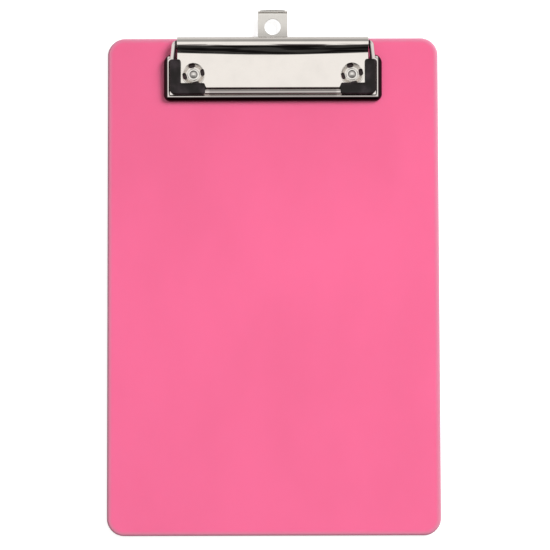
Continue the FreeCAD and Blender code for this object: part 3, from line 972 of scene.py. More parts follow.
@dataclass
class ClipPlate:
    """Spring plate: front lip, flat with two pierced dimples, a bowed ramp, and the roll for the wire."""

    places: Places
    sheet: float = 0.9
    edge: float = 0.12
    lift: float = 1.9
    lip_bend: float = 0.95
    lip_power: float = 0.5
    lip_gap: float = 0.3
    behind_dimple: float = 0.4
    ramp_bend: float = 1.8
    ramp_at_ends: float = 41.0
    ramp_in_middle: float = 31.5
    bore: float = 1.38
    oval: float = 1.22
    curl_end: float = 245.0
    notch: float = 0.9
    notch_from: float = 30.82
    corner: float = 0.4
    dimple: float = 5.4
    floor: float = 3.2
    rivet_hole: float = 1.9
    slot_reach: float = 4.15
    slot_length: float = 3.1
    slot_width: float = 1.8
    slot_turn: float = 12.0
    slot_round: float = 0.98
    streaks_fade: float = 0.4
    streaks_end: float = 1.0
    drawn_beyond: float = 0.3
    finish: Nickel = Nickel("bright_plate", (0.945, 0.925, 0.905), 0.07, 0.06, Grain.POLISHED,
                            wave_depth=5e-5, wave_scale=18.0)

    def __post_init__(self) -> None:
        """Work out the section's heights and the blank's stages, which are lengths along the upper face.

        The stages are the lip, its bend, the level part up to the dimples' rear, the rest of it, the ramp's
        bend, the ramp and the roll. The form stretches the rest and the ramp to what their places across the
        plate need.
        """
        self.half = float(self.places.plate[1, 0])
        self.front = float(self.places.plate[0, 1])
        self.axis_y, self.axis_z = self.places.axis[1:]
        self.top = self.places.board_top + self.lift + self.sheet
        self.foot = self.places.board_top + self.lip_gap
        self.roll = self.bore + self.sheet
        rivet_y = self.places.rivet[1]
        self.level_end = rivet_y + self.dimple + self.behind_dimple
        lip = self.top - self.lip_bend - self.foot
        bend = self.lip_bend * math.pi / 2
        level = self.level_end - self.front - self.lip_bend
        rest, ramp = 3.2, 1.6
        ramp_turn = self.ramp_bend * math.radians(self.ramp_at_ends)
        curl = self.roll * math.radians(self.ramp_at_ends + self.curl_end)
        self.stages = np.cumsum([0.0, lip, bend, level, rest, ramp_turn, ramp, curl])

    def flat_place(self, y: float) -> float:
        """Return how far along the blank a place on the level part is."""
        return float(self.stages[2] + y - self.front - self.lip_bend)

    def form(self, flat: Array, depth: Array) -> Array:
        """Bend the blank.

        The upper face is, in turn: upright up the lip; a squared quarter circle over its bend, whose cosine
        and sine are raised to a power; level; a hollow arc up to the ramp's slope; straight up the ramp; and
        round the roll's oval outside, which it joins where the oval's slope is the ramp's. The slope falls
        from the ends to the middle with the square of x, so that the ramp's foot bows forwards. Depth moves
        a point towards the arc's centre or away from it, or square to a straight stretch. At the dimples the
        sheet drops by a smooth step in the distance from the rivet.

        Args:
            flat: places on the blank, across it and along it.
            depth: how far each place is below the upper face.

        Returns:
            Places in space.
        """
        x, v = flat.T
        steep = np.radians(self.ramp_in_middle
                           + (self.ramp_at_ends - self.ramp_in_middle) * (x / self.half) ** 2)
        inner, roll, bend = self.ramp_bend, self.roll, self.lip_bend
        meet = np.arctan(self.oval * np.tan(steep))
        ramp_end = (self.axis_y - self.oval * roll * np.sin(meet), self.axis_z + roll * np.cos(meet))
        ramp_rise = ramp_end[1] - self.top - inner * (1 - np.cos(steep))
        foot_y = ramp_end[0] - ramp_rise / np.tan(steep) - inner * np.sin(steep)
        stage, share = stage_of(self.stages, v)
        over = share * math.pi / 2
        climb = share * steep
        turned = meet - share * (meet + math.radians(self.curl_end))
        ramp_start = (foot_y + inner * np.sin(steep), self.top + inner * (1 - np.cos(steep)))
        ramp_y, ramp_z = (a + (b - a) * share for a, b in zip(ramp_start, ramp_end))
        y = np.choose(stage, [
            self.front + depth,
            self.front + bend - (bend - depth) * np.cos(over) ** self.lip_power,
            self.front + bend + (self.level_end - self.front - bend) * share,
            self.level_end + (foot_y - self.level_end) * share,
            foot_y + (inner + depth) * np.sin(climb),
            ramp_y + depth * np.sin(steep),
            self.axis_y - self.oval * (roll - depth) * np.sin(turned),
        ])
        z = np.choose(stage, [
            self.foot + (self.top - bend - self.foot) * share,
            self.top - bend + (bend - depth) * np.sin(over) ** self.lip_power,
            self.top - depth,
            self.top - depth,
            self.top + inner - (inner + depth) * np.cos(climb),
            ramp_z - depth * np.cos(steep),
            self.axis_z + (roll - depth) * np.cos(turned),
        ])
        sunk = np.clip((self.dimple - self.from_rivet(x, y)) / (self.dimple - self.floor), 0.0, 1.0)
        return np.column_stack([x, y, z - np.where(stage == 2, self.lift * smooth(sunk), 0.0)])

    def from_rivet(self, x: Array, y: Array) -> Array:
        """Return how far places are from the nearer rivet's axis, seen from above."""
        rivet_x, rivet_y = self.places.rivet
        return np.hypot(np.abs(x) - rivet_x, y - rivet_y)

    def slots(self, wall: Array) -> list[Loop]:
        """Lay out the relief slots: four round-ended slots about each rivet, a quarter turn apart.

        Each lies square to the line from the rivet to its middle.

        Args:
            wall: the sheet's wall.

        Returns:
            The slots' loops.
        """
        span, end_steps = 0.3, 7
        half, run = self.slot_width / 2, self.slot_length / 2
        shape = np.array([(-half, -run), (-half, run), (half, run), (half, -run)])
        loops = []
        for side in (-1, 1):
            centre = np.array([side * self.places.rivet[0], self.flat_place(self.places.rivet[1])])
            for quarter in range(4):
                turn = math.radians(self.slot_turn + 90 * quarter)
                out = np.array([math.cos(turn), math.sin(turn)])
                corners = centre + out * self.slot_reach + shape[:, :1] * out + shape[:, 1:] * left_of(out)
                loops.append(polygon(corners.tolist(), [half * self.slot_round] * 4, span, wall, end_steps))
        return loops

    def blank(self) -> tuple[list[Loop], Array]:
        """Lay out the blank.

        Inside it is a grid whose rows are close where the sheet bends, less a disc about each rivet, where
        rings of points take its place.

        Returns:
            The outline and the holes, and the points inside.
        """
        wall = sheet_wall(self.sheet, self.edge)
        end, shoulder = float(self.stages[-1]), self.flat_place(self.front + self.notch)
        half, inner, span, corner_steps = self.half, self.notch_from, 0.3, 5
        corners = [(-inner, 0), (inner, 0), (inner, shoulder), (half, shoulder), (half, end), (-half, end),
                   (-half, shoulder), (-inner, shoulder)]
        outline = polygon(corners, [self.corner] * 8, span, wall, corner_steps)
        middle = self.flat_place(self.places.rivet[1])
        holes = [round_hole((side * self.places.rivet[0], middle), self.rivet_hole, wall) for side in (-1, 1)]
        holes += self.slots(wall)
        spans_on_stages = (2, 8, 9, 3, 7, 4, 56)
        rows = rows_along(self.stages, spans_on_stages)
        from_end, pitch = 1.0, 1.5
        columns = np.arange(from_end - half, half, pitch)
        grid = np.stack(np.meshgrid(columns, rows[1:]), axis=-1).reshape(-1, 2)
        first_ring, past_dimple, ring_pitch, spokes = 0.35, 1.0, 0.22, 80
        rings = np.arange(self.rivet_hole + first_ring, self.dimple + past_dimple, ring_pitch)
        turns = np.arange(spokes) * FULL_TURN / spokes
        disc = (rings[:, None, None] * np.stack([np.cos(turns), np.sin(turns)], axis=-1)).reshape(-1, 2)
        disc_gap, margin = 0.4, 0.16
        for side in (-1, 1):
            centre = np.array([side * self.places.rivet[0], middle])
            grid = grid[np.hypot(*(grid - centre).T) > rings[-1] + disc_gap]
            grid = np.concatenate([grid, disc + centre])
        return [outline, *holes], trimmed(grid, outline, holes, self.edge, margin)

    def mark_reflection_and_drawing(self, piece: bpy.types.Object) -> None:
        """Write two attributes: one for painted reflection streaks, 1 on the ramp, and drawn, 1 on the
        dimples and 0 just outside them.

        Args:
            piece: the plate.
        """
        x, y, z = places_of(piece).T
        # Painted reflection streaks on the ramp; drawn only roughens the dimples.
        before_roll = y < self.axis_y - self.streaks_end
        mark(piece, "painted_streaks", np.clip((z - self.top) / self.streaks_fade, 0.0, 1.0) * before_roll)
        mark(piece, "drawn", np.clip(self.dimple + self.drawn_beyond - self.from_rivet(x, y), 0.0, 1.0))

    def build(self) -> None:
        """Make the plate."""
        piece = plate_solid(*self.blank(), self.form).make("spring_plate")
        self.mark_reflection_and_drawing(piece)
        dress(piece, "clipboard", "clip_plate", self.finish.material())


@dataclass
class Rivets:
    """Semi-tubular rivets: a domed head with a round eye, and a clinched tail rolled outwards."""

    places: Places
    sheet: float = 0.9
    head: float = 2.8
    head_height: float = 0.9
    crown: float = 0.42
    head_under: float = 0.15
    eye: float = 1.75
    dish: float = 3.6
    dish_gap: float = 0.04
    eye_depth: float = 0.75
    eye_edge: float = 0.16
    # Painted shade in the rivet's eye.
    eye_shade: float = 0.72
    shank: float = 1.8
    bore: float = 1.1
    bore_top: float = 2.3
    tail: float = 3.1
    tail_height: float = 0.7
    tail_roll: float = 0.32
    throat: float = 0.45
    recess: float = 0.9
    finish: Nickel = Nickel("rivet_nickel", (0.93, 0.92, 0.905), 0.14, 0.12, Grain.CLINCHED, 900.0, 3e-6)

    def profile(self) -> Array:
        """Draw half the rivet's section: arcs for the eye's dish, the head and the clinched tail, and lines.

        Returns:
            Points of (radius, height).
        """
        seat = self.places.board_top + self.sheet
        top = seat + self.head_height
        crown, under, wall = self.crown, self.head_under, self.eye_edge
        roll, throat = self.tail_roll, self.throat
        tail_base = self.recess - self.tail_height
        dish_end = math.degrees(math.asin((self.eye - self.dish_gap) / self.dish)) - 90.0
        return np.concatenate([
            arc((0.0, top - self.eye_depth + self.dish), self.dish, -90.0, dish_end, 8),
            arc((self.eye + wall, top - wall), wall, 180.0, 90.0, 5),
            arc((self.head - crown, top - crown), crown, 90.0, 0.0, 8),
            arc((self.head - under, seat + under), under, 0.0, -90.0, 3),
            [(self.shank, seat), (self.shank, self.recess)],
            arc((self.tail - roll, self.recess - roll), roll, 90.0, 0.0, 5),
            arc((self.tail - roll, tail_base + roll), roll, 0.0, -90.0, 5),
            arc((self.bore + throat, tail_base + throat), throat, -90.0, -180.0, 5),
            [(self.bore, self.bore_top), (0.0, self.bore_top)],
        ])

    def build(self) -> None:
        """Make both rivets."""
        x, y = self.places.rivet
        material, crisp = self.finish.material(), 50.0
        for side, name in ((-1, "left"), (1, "right")):
            solid = Solid()
            lathe(solid, self.profile(), (side * x, y))
            piece = solid.make(f"{name}_semi_tubular_rivet", crisp)
            self.mark_eye(piece, side * x, y)
            dress(piece, "clipboard", f"{name}_rivet", material)

    def mark_eye(self, piece: bpy.types.Object, x: float, y: float) -> None:
        """Write the attribute named dark, painted shade in the eye: none at the eye's middle and on the head,
        most at the eye's edge.

        Args:
            piece: the rivet.
            x: its axis's place.
            y: its axis's place.
        """
        away = np.hypot(*(places_of(piece)[:, :2] - (x, y)).T)
        in_eye = away < self.eye + self.eye_edge / 2
        mark(piece, "dark", np.clip(away / self.eye, 0.0, 1.0) * self.eye_shade * in_eye)


@dataclass
class Hanger:
    """Hanging strip: a finger lip that leans out, a round hole, and a stop lip under the plate."""

    places: Places
    sheet: float = 0.8
    edge: float = 0.12
    bend: float = 0.4
    bulge: float = 0.35
    hole: float = 3.75
    hole_setback: float = 7.8
    stop: float = 0.35
    stop_corner: float = 0.5
    pull_lean: float = 10.0
    pull_corner: float = 1.5
    # Painted shade on the strip, rising towards the roll.
    shade_start: float = 2.5
    shade_length: float = 7.0
    darkening: float = 0.34
    finish: Nickel = Nickel("satin_nickel", (0.935, 0.925, 0.905), 0.28, 0.06, Grain.BRUSHED, 2200.0, 4e-7)

    def __post_init__(self) -> None:
        """Work out the strip's ends and the blank's stages: stop lip, bend, strip, bend, finger lip."""
        low, high = self.places.hanger
        self.half = float(high[0])
        self.level = float(low[2]) + self.sheet
        lean = math.radians(self.pull_lean)
        rise = float(high[2]) - self.level
        self.pull = (rise - self.bend * (1 - math.sin(lean)) - self.sheet * math.sin(lean)) / math.cos(lean)
        # The finger lip's outer edge ends at the strip's full reach.
        out = self.bulge + self.pull * math.sin(lean) + (self.bend + self.sheet) * math.cos(lean)
        self.pull_y = float(high[1]) - out
        strip_start = float(low[1]) + self.sheet + self.bend
        self.strip = (strip_start, self.pull_y)
        quarter = self.bend + self.sheet / 2
        self.stages = np.cumsum([0.0, self.stop, quarter * math.pi / 2, self.pull_y - strip_start,
                                 quarter * (math.pi / 2 - lean), self.pull])

    def form(self, flat: Array, depth: Array) -> Array:
        """Bend the blank into a shallow U.

        The upper face is, in turn: upright down the stop lip; a hollow quarter circle; level along the strip;
        a hollow arc; and straight up the leaning finger lip. Depth moves a point out of the U. The finger
        lip's outer face swells outwards with the cosine of the place across it.

        Args:
            flat: places on the blank, across it and along it.
            depth: how far each place is below the upper face.

        Returns:
            Places in space.
        """
        x, v = flat.T
        lean = math.radians(self.pull_lean)
        stage, share = stage_of(self.stages, v)
        start, end = self.strip
        down = share * math.pi / 2
        up = share * (math.pi / 2 - lean)
        tip_y = end + (self.bend + depth) * math.cos(lean)
        tip_z = self.level + self.bend - (self.bend + depth) * math.sin(lean)
        y = np.choose(stage, [
            start - self.bend - depth,
            start - (self.bend + depth) * np.cos(down),
            start + (end - start) * share,
            end + (self.bend + depth) * np.sin(up),
            tip_y + self.pull * share * math.sin(lean),
        ])
        z = np.choose(stage, [
            self.level + self.bend + self.stop * (1 - share),
            self.level + self.bend - (self.bend + depth) * np.sin(down),
            self.level - depth,
            self.level + self.bend - (self.bend + depth) * np.cos(up),
            tip_z + self.pull * share * math.cos(lean),
        ])
        swell = np.where(stage > 2, np.clip(share + (stage - 3), 0.0, 1.0), 0.0)
        swell = swell * np.cos(x / self.half * math.pi / 2) * depth / self.sheet
        return np.column_stack([x, y + self.bulge * swell, z])

    def build(self) -> None:
        """Make the hanger, whose attribute named dark is painted shade that rises towards the roll."""
        wall = sheet_wall(self.sheet, self.edge)
        half, end = self.half, float(self.stages[-1])
        corners = [(-half, 0.0), (half, 0.0), (half, end), (-half, end)]
        radii = [self.stop_corner, self.stop_corner, self.pull_corner, self.pull_corner]
        span, corner_steps, hole_points = 0.3, 9, 72
        outline = polygon(corners, radii, span, wall, corner_steps)
        hole_y = float(self.places.hanger[1, 1]) - self.hole_setback
        hole_place = (0.0, float(self.stages[2]) + hole_y - self.strip[0])
        hole = round_hole(hole_place, self.hole, wall, hole_points)
        spans_on_stages = (3, 8, 16, 8, 3)
        rows = rows_along(self.stages, spans_on_stages)
        pitch, margin = 1.0, 0.2
        grid = np.stack(np.meshgrid(np.arange(pitch - half, half, pitch), rows[1:]), axis=-1).reshape(-1, 2)
        grid = trimmed(grid, outline, [hole], self.edge, margin)
        piece = plate_solid([outline, hole], grid, self.form).make("hanging_strip")
        behind = self.pull_y - self.shade_start - places_of(piece)[:, 1]
        mark(piece, "dark", np.clip(behind / self.shade_length, 0.0, 1.0) * self.darkening)
        dress(piece, "hanger", "hanger", self.finish.material())


@dataclass
class Bail:
    """Wire loop with its rolled jaw frame and corner grips.

    They are drawn in one plane that leans down through the roll's axis: x across, y ahead of the axis taken
    negative, and z square to the plane.
    """

    places: Places
    wire: float = 1.3
    rear_bend: float = 1.7
    splay: float = 0.8
    splay_length: float = 7.0
    splay_bend: float = 12.0
    tip: float = 0.6
    front_bend: float = 3.2
    wire_gap: float = 3.0
    seat_clearance: float = 0.02
    frame_sheet: float = 0.55
    frame_corner: float = 2.9
    frame_start: float = 5.2
    bead: float = 0.8
    flank_reach: float = 1.85
    trough_wrap: float = 20.0
    trough_setback: float = 0.6
    trough_gap: float = 0.3
    hook: float = 1.1
    hook_round: float = 0.96
    web: float = 2.4
    # Painted reflection and shade: these place the attribute named dark on the frame's outer flank and rear
    # hooks and on the wire's inner sides.
    dark_from: float = -0.1
    dark_over: float = 0.5
    shade_over: float = 0.7
    hook_dark: float = 0.4
    # How much darker the front is between the grips.
    darkening: float = 0.36
    grip_length: float = 16.2
    grip_side_leg: float = 5.0
    grip_front_leg: float = 5.3
    grip_corner: float = 1.5
    grip_round: float = 1.0
    grip_outer: float = 1.0
    grip_inner: float = 0.5
    grip_fall: float = 0.75
    grip_fit: float = 0.05
    grip_gap: float = 0.1
    grip_cap: float = 1.5
    grip_chamfer: float = 0.2
    cap_chamfer: float = 0.15
    cap_step: float = 0.1
    cap_gap: float = 0.35
    plate_gap: float = 0.35
    plate_height: float = 2.8
    foot_in_notch: float = 0.6
    wire_finish: Nickel = Nickel("bright_wire", (0.89, 0.86, 0.85), 0.08, 0.06, Grain.POLISHED)
    frame_finish: Nickel = Nickel("bright_frame", (0.945, 0.925, 0.91), 0.09, 0.06, Grain.POLISHED)
    grip_finish: GripPlastic = GripPlastic()

    def __post_init__(self) -> None:
        """Read the arms' places and the plane's lean from the wire's box and the hinge."""
        low, high = self.places.wire
        ahead = self.places.axis[1] - low[1] - self.wire
        below = self.places.axis[2] - low[2] - self.wire
        self.arm_x = float(high[0] - self.wire)
        self.length = math.hypot(ahead, below)
        self.lean = math.atan2(below, ahead)
        self.seat = self.wire + self.seat_clearance
        self.under = self.seat + self.frame_sheet
        self.cosine, self.sine = math.cos(self.lean), math.sin(self.lean)
        # How far beyond the wire's middle the grips' outer sides lie.
        self.grip_out = self.seat - self.grip_fit

    def lay(self, points: Array) -> Array:
        """Turn places in the bail's plane by its lean about the roll's axis.

        Args:
            points: places in the bail's plane and off it.

        Returns:
            Places in space.
        """
        x, y, z = np.moveaxis(points, -1, 0)
        return np.stack([x, self.places.axis[1] + y * self.cosine - z * self.sine,
                         self.places.axis[2] + y * self.sine + z * self.cosine], axis=-1)

    def make_wire(self) -> None:
        """Make the wire: a circle carried along the loop, with a rounded tip at each end inside the roll.

        Along a tip the circle's radius follows the sine of an even turn and its place follows one less the
        cosine. The attribute named dark is painted shade, 1 on the arms' inner sides, which the plate shades,
        and the front between the grips is a little darker.
        """
        x, y, end = self.arm_x, -self.length, self.wire_gap / 2
        near, turn_in = x - self.splay, -self.splay_length
        span, bend_steps, sides, tip = 1.0, 18, 40, 6
        right = [(end, 0.0), (near, 0.0), (x, turn_in), (x, y)]
        corners = right + [(-across, ahead) for across, ahead in reversed(right)]
        half_radii = [BARE, self.rear_bend, self.splay_bend, self.front_bend]
        line, left = path(corners, half_radii + half_radii[::-1], span, bend_steps)
        first_share = 0.02
        quarter = np.linspace(first_share, 1.0, tip) * math.pi / 2
        reach = np.array([[self.tip, 0.0]]) * (1 - np.cos(quarter))[:, None]
        line = np.concatenate([line[0] + reach, line[2:-2], line[-1] - reach[::-1]])
        left = np.concatenate([np.repeat(left[:1], tip, axis=0), left[2:-2],
                               np.repeat(left[-1:], tip, axis=0)])
        size = self.wire * np.r_[np.sin(quarter), np.ones(len(line) - 2 * tip), np.sin(quarter)[::-1]]
        turn = np.arange(sides) * FULL_TURN / sides
        out = np.cos(turn)[None, :, None] * size[:, None, None]
        up = np.sin(turn)[None, :, None] * size[:, None, None]
        points = np.concatenate([line[:, None] - left[:, None] * out, up], axis=-1)
        solid = Solid()
        first = np.arange(sides)[None]
        last = first + (len(line) - 1) * sides
        solid.add(self.lay(points), tube_faces(len(line), sides), first[:, ::-1], last)
        piece = solid.make("bail_wire")
        x, ahead = self.spread(piece)
        # Painted shade on the arms' inner sides.
        middle = self.arm_x - self.splay * np.clip(1 - ahead / self.splay_length, 0.0, 1.0)
        inner = np.clip((middle - x) / self.shade_over, 0.0, 1.0) * (ahead < self.length - self.front_bend)
        mark(piece, "dark", np.maximum(inner, self.rubbed(x)))
        dress(piece, "bail", "wire_bail", self.wire_finish.material())

    def rubbed(self, x: Array) -> Array:
        """Return how much darker the front is: a set share between the grips and none beside them."""
        return np.clip(self.arm_x - self.grip_length - x, 0.0, 1.0) * self.darkening

    def spread(self, piece: bpy.types.Object) -> tuple[Array, Array]:
        """Say how a piece's points lie.

        Args:
            piece: the piece.

        Returns:
            How far each point is from the middle plane, and how far ahead of the hinge.
        """
        x, y, z = places_of(piece).T
        _, axis_y, axis_z = self.places.axis
        return np.abs(x), (axis_y - y) * self.cosine + (axis_z - z) * self.sine

    def bead_line(self) -> Array:
        """Draw the middle of the bead's sheet.

        It is a quarter circle up to the crest, then a quarter ellipse down the flank.

        Returns:
            Points of (out, up).
        """
        middle = self.bead - self.frame_sheet / 2
        over_steps, flank_steps = 8, 14
        over = arc((self.bead, 0.0), middle, 180.0, 90.0, over_steps)
        turn = np.linspace(0.0, math.pi / 2, flank_steps + 1)[1:]
        out = self.flank_reach * np.sin(turn)
        down = (self.under - self.frame_sheet / 2 + middle) * (1 - np.cos(turn))
        return np.concatenate([over, np.column_stack([self.bead + out, middle - down])])

    def make_frame(self) -> None:
        """Make the jaw frame: a bead carried round the bail, and troughs that cup the wire between grips.

        The bead's rear ends hook inwards, and a web closes each front corner.
        """
        x, y = self.arm_x + self.seat, -(self.length + self.seat)
        foot = float(self.bead_line()[:, 0].max()) + self.frame_sheet / 2
        tightest, span, bend_steps, wrap_steps, trough_rows = 0.3, 1.0, 14, 14, 12
        corner = max(self.frame_corner - foot, tightest)
        rear, hook, hook_bend = -self.frame_start - foot, self.hook, self.hook * self.hook_round
        corners = [(x - hook, rear), (x, rear), (x, y), (-x, y), (-x, rear), (hook - x, rear)]
        rail, outward = path(corners, [BARE, hook_bend, corner, corner, hook_bend, BARE], span, bend_steps)
        solid = Solid()
        self.add_strip(solid, carried(strip(self.bead_line(), self.frame_sheet), rail, outward))
        for side in (-1, 1):
            web = [(side * (x - self.web), y), (side * x, y), (side * x, y + self.web)]
            solid.add(*self.web_faces(web))
        grip_end = self.grip_out - self.grip_length - self.trough_gap
        arm_start, arm_end = -self.frame_start - self.trough_setback, -self.length - grip_end
        bar = self.arm_x + grip_end
        wrap = arc((0.0, 0.0), self.seat + self.frame_sheet / 2, 0.0, -90.0 - self.trough_wrap, wrap_steps)
        trough = strip(wrap, self.frame_sheet)
        share = np.linspace(0.0, 1.0, trough_rows)[:, None]
        for start, end, out in (
                ((self.arm_x, arm_start), (self.arm_x, arm_end), (1.0, 0.0)),
                ((-self.arm_x, arm_end), (-self.arm_x, arm_start), (-1.0, 0.0)),
                ((bar, -self.length), (-bar, -self.length), (0.0, -1.0))):
            rail = np.array(start) * (1 - share) + np.array(end) * share
            self.add_strip(solid, carried(trough, rail, np.tile(out, (trough_rows, 1))))
        piece = solid.make("rolled_jaw_frame")
        self.mark_flank(piece)
        dress(piece, "bail", "jaw_frame", self.frame_finish.material())

    def web_faces(self, corners: list[Point]) -> tuple[Array, Array, Array]:
        """Return a thin three-cornered web that closes the gap outside a grip's cut corner.

        Args:
            corners: its corners in the bail's plane.

        Returns:
            Its points, its three walls, and its two faces.
        """
        flat = np.array(corners)
        half = self.frame_sheet / 2
        rings = np.stack([np.column_stack([flat, np.full(3, height)]) for height in (half, -half)])
        return self.lay(rings), tube_faces(2, 3), np.array([[0, 1, 2], [5, 4, 3]])

    def mark_flank(self, piece: bpy.types.Object) -> None:
        """Write the attribute named dark, painted reflection of the shaded board: it rises from 0 at the
        bead's crest to 1 down the outer flank.

        How far out a point is comes from its place in the bail's plane, less the crest's. The rear hooks are
        painted dark too, and the front between the grips is a little darker.

        Args:
            piece: the jaw frame.
        """
        x, ahead = self.spread(piece)
        crest = self.seat + self.bead
        out = np.maximum(x - self.arm_x - crest, ahead - self.length - crest)
        out = np.maximum(out, self.frame_start + self.bead + self.hook_dark - ahead)
        flank = np.clip((out - self.dark_from) / self.dark_over, 0.0, 1.0)
        mark(piece, "dark", np.maximum(flank, self.rubbed(x)))

    def add_strip(self, solid: Solid, points: Array) -> None:
        """Add a carried strip and close its two ends across the sheet.

        Args:
            solid: the solid that gets the strip.
            points: the strip's rows, in the bail's plane.
        """
        rows, columns = points.shape[:2]
        ladder = np.arange(columns // 2 - 1)
        end = np.stack([ladder, ladder + 1, columns - 2 - ladder, columns - 1 - ladder], axis=-1)
        last = end + (rows - 1) * columns
        solid.add(self.lay(points), tube_faces(rows, columns), end[:, ::-1], last)

    def grip_loop(self, side_edge: float, front_edge: float, side: int) -> Loop:
        """Draw a grip's L seen from above.

        Args:
            side_edge: where the arm leg's inner edge runs, as a place across.
            front_edge: where the front leg's inner edge runs, as a place ahead.
            side: 1 on the right and -1 on the left, which is the right one's mirror image.

        Returns:
            The L's loop.
        """
        x, y = self.arm_x + self.grip_out, -self.length - self.grip_out
        cut, inner, rear = self.grip_corner, x - self.grip_length, y + self.grip_length
        corners = [(inner, y), (x - cut, y), (x, y + cut), (x, rear), (side_edge, rear),
                   (side_edge, front_edge), (inner, front_edge)]
        # The top's edge moves in by its radius, so the corners are a little rounder than that.
        spare = 0.05
        small, outer = self.grip_round + spare, self.grip_outer
        radii = [small, outer, outer, small, small, self.grip_inner, small]
        if side < 0:
            corners = [(-a, b) for a, b in reversed(corners)]
            radii = radii[::-1]
        whole_side, bend_steps = 50.0, 8
        return polygon(corners, radii, whole_side, np.zeros((0, 2)), bend_steps)

    def make_grip(self, side: int, name: str, material: bpy.types.Material) -> None:
        """Make one corner grip: two L outlines joined up its height, and a rounded top.

        Each ring is one outline moved inwards and set at a height. The foot is the narrow L that clears the
        plate, the cap is the broad L that laps over it, and the top's edge is a quarter of an ellipse.

        Args:
            side: 1 for the right grip and -1 for the left.
            name: its side in words.
            material: its material.
        """
        plate_half, plate_front = float(self.places.plate[1, 0]), float(self.places.plate[0, 1])
        board_top, (_, axis_y, axis_z) = self.places.board_top, self.places.axis
        front, to_plate = self.length + self.grip_out, axis_y - plate_front
        base = -(axis_z - board_top - self.grip_gap - front * self.sine) / self.cosine
        cap_height = board_top + self.plate_height + self.cap_gap
        cap_base = (cap_height - axis_z + to_plate * self.sine) / self.cosine
        top = cap_base + self.grip_cap
        foot = self.grip_loop(plate_half + self.plate_gap, self.foot_in_notch - to_plate, side)
        cap_side, cap_front = self.arm_x + self.grip_out - self.grip_side_leg, self.grip_front_leg - front
        cap = self.grip_loop(cap_side, cap_front, side)
        rings = [(foot, self.grip_chamfer, base), (foot, 0.0, base + self.grip_chamfer),
                 (foot, 0.0, cap_base - self.cap_step), (cap, self.cap_chamfer, cap_base),
                 (cap, 0.0, cap_base + self.cap_chamfer)]
        edge_steps = 8
        rings += [(cap, self.grip_round * (1 - math.cos(a)), top - self.grip_fall * (1 - math.sin(a)))
                  for a in np.linspace(0.0, math.pi / 2, edge_steps + 1)]
        rows = np.stack([np.column_stack([loop.inset(inset), np.full(len(loop.points), height)])
                         for loop, inset, height in rings])
        solid = Solid()
        solid.add(self.lay(rows), tube_faces(len(rings), len(foot.points))[:, ::-1])
        for row, flipped in ((rows[0], True), (rows[-1], False)):
            triangles = region([row[:, :2]], np.zeros((0, 2)))
            solid.add(self.lay(row), triangles[:, ::-1] if flipped else triangles)
        dress(solid.make(f"{name}_moulded_grip"), "bail", f"{name}_corner_grip", material)

    def build(self) -> None:
        """Make the wire, the jaw frame and both grips."""
        self.make_wire()
        self.make_frame()
        material = self.grip_finish.material()
        for side, name in ((-1, "left"), (1, "right")):
            self.make_grip(side, name, material)


# ---------------------------------------------------------------- studio

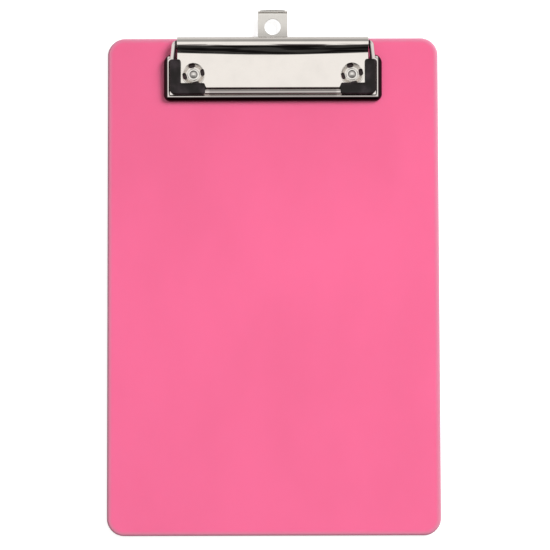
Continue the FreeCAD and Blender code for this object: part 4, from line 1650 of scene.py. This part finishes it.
@dataclass
class Studio:
    """Pale floor, soft light from the right, a bright ceiling with a dark front wall, and the camera.

    Lengths are in metres, the elevation and the roll in degrees. A range is the stretch of a direction's part
    over which one wall fades into the next.
    """

    distance: float = 0.88
    elevation: float = 86.6
    roll: float = 0.16
    view_width: float = 0.2530
    aim: tuple[float, float, float] = (0.00076, 0.00482, 0.0)
    sensor: float = 36.0
    sight: float = 20.0
    floor_size: float = 6.0
    floor_drop: float = 0.0001
    floor_tone: float = 0.55
    floor_glow: float = 0.75
    key_place: tuple[float, float, float] = (1.28, 1.06, 1.34)
    key_size: float = 1.12
    key_power: float = 60.5
    ceiling: float = 0.99
    wall: float = 0.36
    horizon: float = 0.70
    ambient: float = 0.52
    side_wall: float = 0.95
    front_wall: float = 0.022
    front_glow: float = 0.022
    horizon_range: Point = (0.2, 0.8)
    rear_range: Point = (0.20, 0.36)
    side_range: Point = (0.30, 0.60)
    front_range: Point = (0.55, 0.75)
    glow_range: Point = (0.25, 0.62)
    tint: tuple[float, float, float, float] = (1.0, 0.985, 0.965, 1.0)

    def floor(self) -> None:
        """Make the floor, a plane just under the board."""
        half, z = self.floor_size / 2, -self.floor_drop
        mesh = bpy.data.meshes.new("floor")
        corners = [(-half, -half, z), (half, -half, z), (half, half, z), (-half, half, z)]
        mesh.from_pydata(corners, [], [(0, 1, 2, 3)])
        mesh.materials.append(skin("pale_floor", lambda shader: {
            "Base Color": (self.floor_tone,) * 3 + (1.0,),
            "Roughness": 0.9,
            "Specular IOR Level": 0.0,
            "Emission Color": (1.0, 1.0, 1.0, 1.0),
            "Emission Strength": shader.ray("Is Camera Ray") * self.floor_glow,
        }))
        floor = bpy.data.objects.new("floor", mesh)
        bpy.context.scene.collection.objects.link(floor)

    def world(self) -> None:
        """Light the scene from all round.

        Mirrored faces see a bright ceiling, a grey rear wall that is lighter at the horizon, side walls, and
        a dark front wall, each fading into the next. Matt faces get one even light, and the camera sees
        white.
        """
        made = bpy.data.worlds.new("studio")
        made.use_nodes = True
        shader = Shader(made.node_tree)
        direction = shader.node("ShaderNodeTexCoord", {}, {}, "Generated")
        x, y, z = (shader.part(direction, axis) for axis in "XYZ")
        rear = self.wall + (1 - z.rise(*self.horizon_range)) * (self.horizon - self.wall)
        above = self.ceiling + y.rise(*self.rear_range) * (rear - self.ceiling)
        beside = above + x.math("ABSOLUTE").rise(*self.side_range) * (self.side_wall - above)
        front = self.front_wall + z.rise(*self.glow_range) * self.front_glow
        mirrored = beside + (-y).rise(*self.front_range) * (front - beside)
        lit = mirrored + shader.ray("Is Diffuse Ray") * (self.ambient - mirrored)
        shown = lit + shader.ray("Is Camera Ray") * (1 - lit)
        sky = shader.node("ShaderNodeBackground", {}, {"Color": self.tint, "Strength": shown})
        shader.node("ShaderNodeOutputWorld", {}, {"Surface": sky})
        bpy.context.scene.world = made

    def key(self) -> None:
        """Add the soft key light from the right."""
        lamp = bpy.data.lights.new("key", "AREA")
        lamp.shape = "DISK"
        lamp.size = self.key_size
        lamp.energy = self.key_power
        made = bpy.data.objects.new("key", lamp)
        made.location = self.key_place
        made.visible_glossy = False
        made.rotation_mode = "QUATERNION"
        made.rotation_quaternion = Vector(self.key_place).to_track_quat("Z", "Y")
        bpy.context.scene.collection.objects.link(made)

    def camera(self) -> None:
        """Add the camera, high over the board's foot end, looking straight at the aim."""
        lens = bpy.data.cameras.new("camera")
        lens.sensor_width = self.sensor
        lens.lens = lens.sensor_width * self.distance / self.view_width
        lens.clip_end = self.sight
        made = bpy.data.objects.new("camera", lens)
        up = math.radians(self.elevation)
        back = Vector((0.0, -math.cos(up), math.sin(up)))
        turn = Matrix.Rotation(math.radians(-self.roll), 4, back)
        made.matrix_world = (Matrix.Translation(Vector(self.aim) + back * self.distance)
                             @ turn @ back.to_track_quat("Z", "Y").to_matrix().to_4x4())
        bpy.context.scene.collection.objects.link(made)
        bpy.context.scene.camera = made

    def build(self) -> None:
        """Set up the floor, the lights and the camera."""
        self.floor()
        self.world()
        self.key()
        self.camera()
        bpy.context.scene.view_settings.view_transform = "Standard"


def main() -> None:
    """Build the clipboard round its frame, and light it."""
    logging.basicConfig(level=logging.INFO, format="%(name)s: %(message)s")
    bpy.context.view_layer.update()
    places = Places.read()
    for part in (Board(places), ClipPlate(places), Rivets(places), Hanger(places), Bail(places), Studio()):
        part.build()
        LOG.info("%s is done", type(part).__name__)


if __name__ == "__main__":
    main()
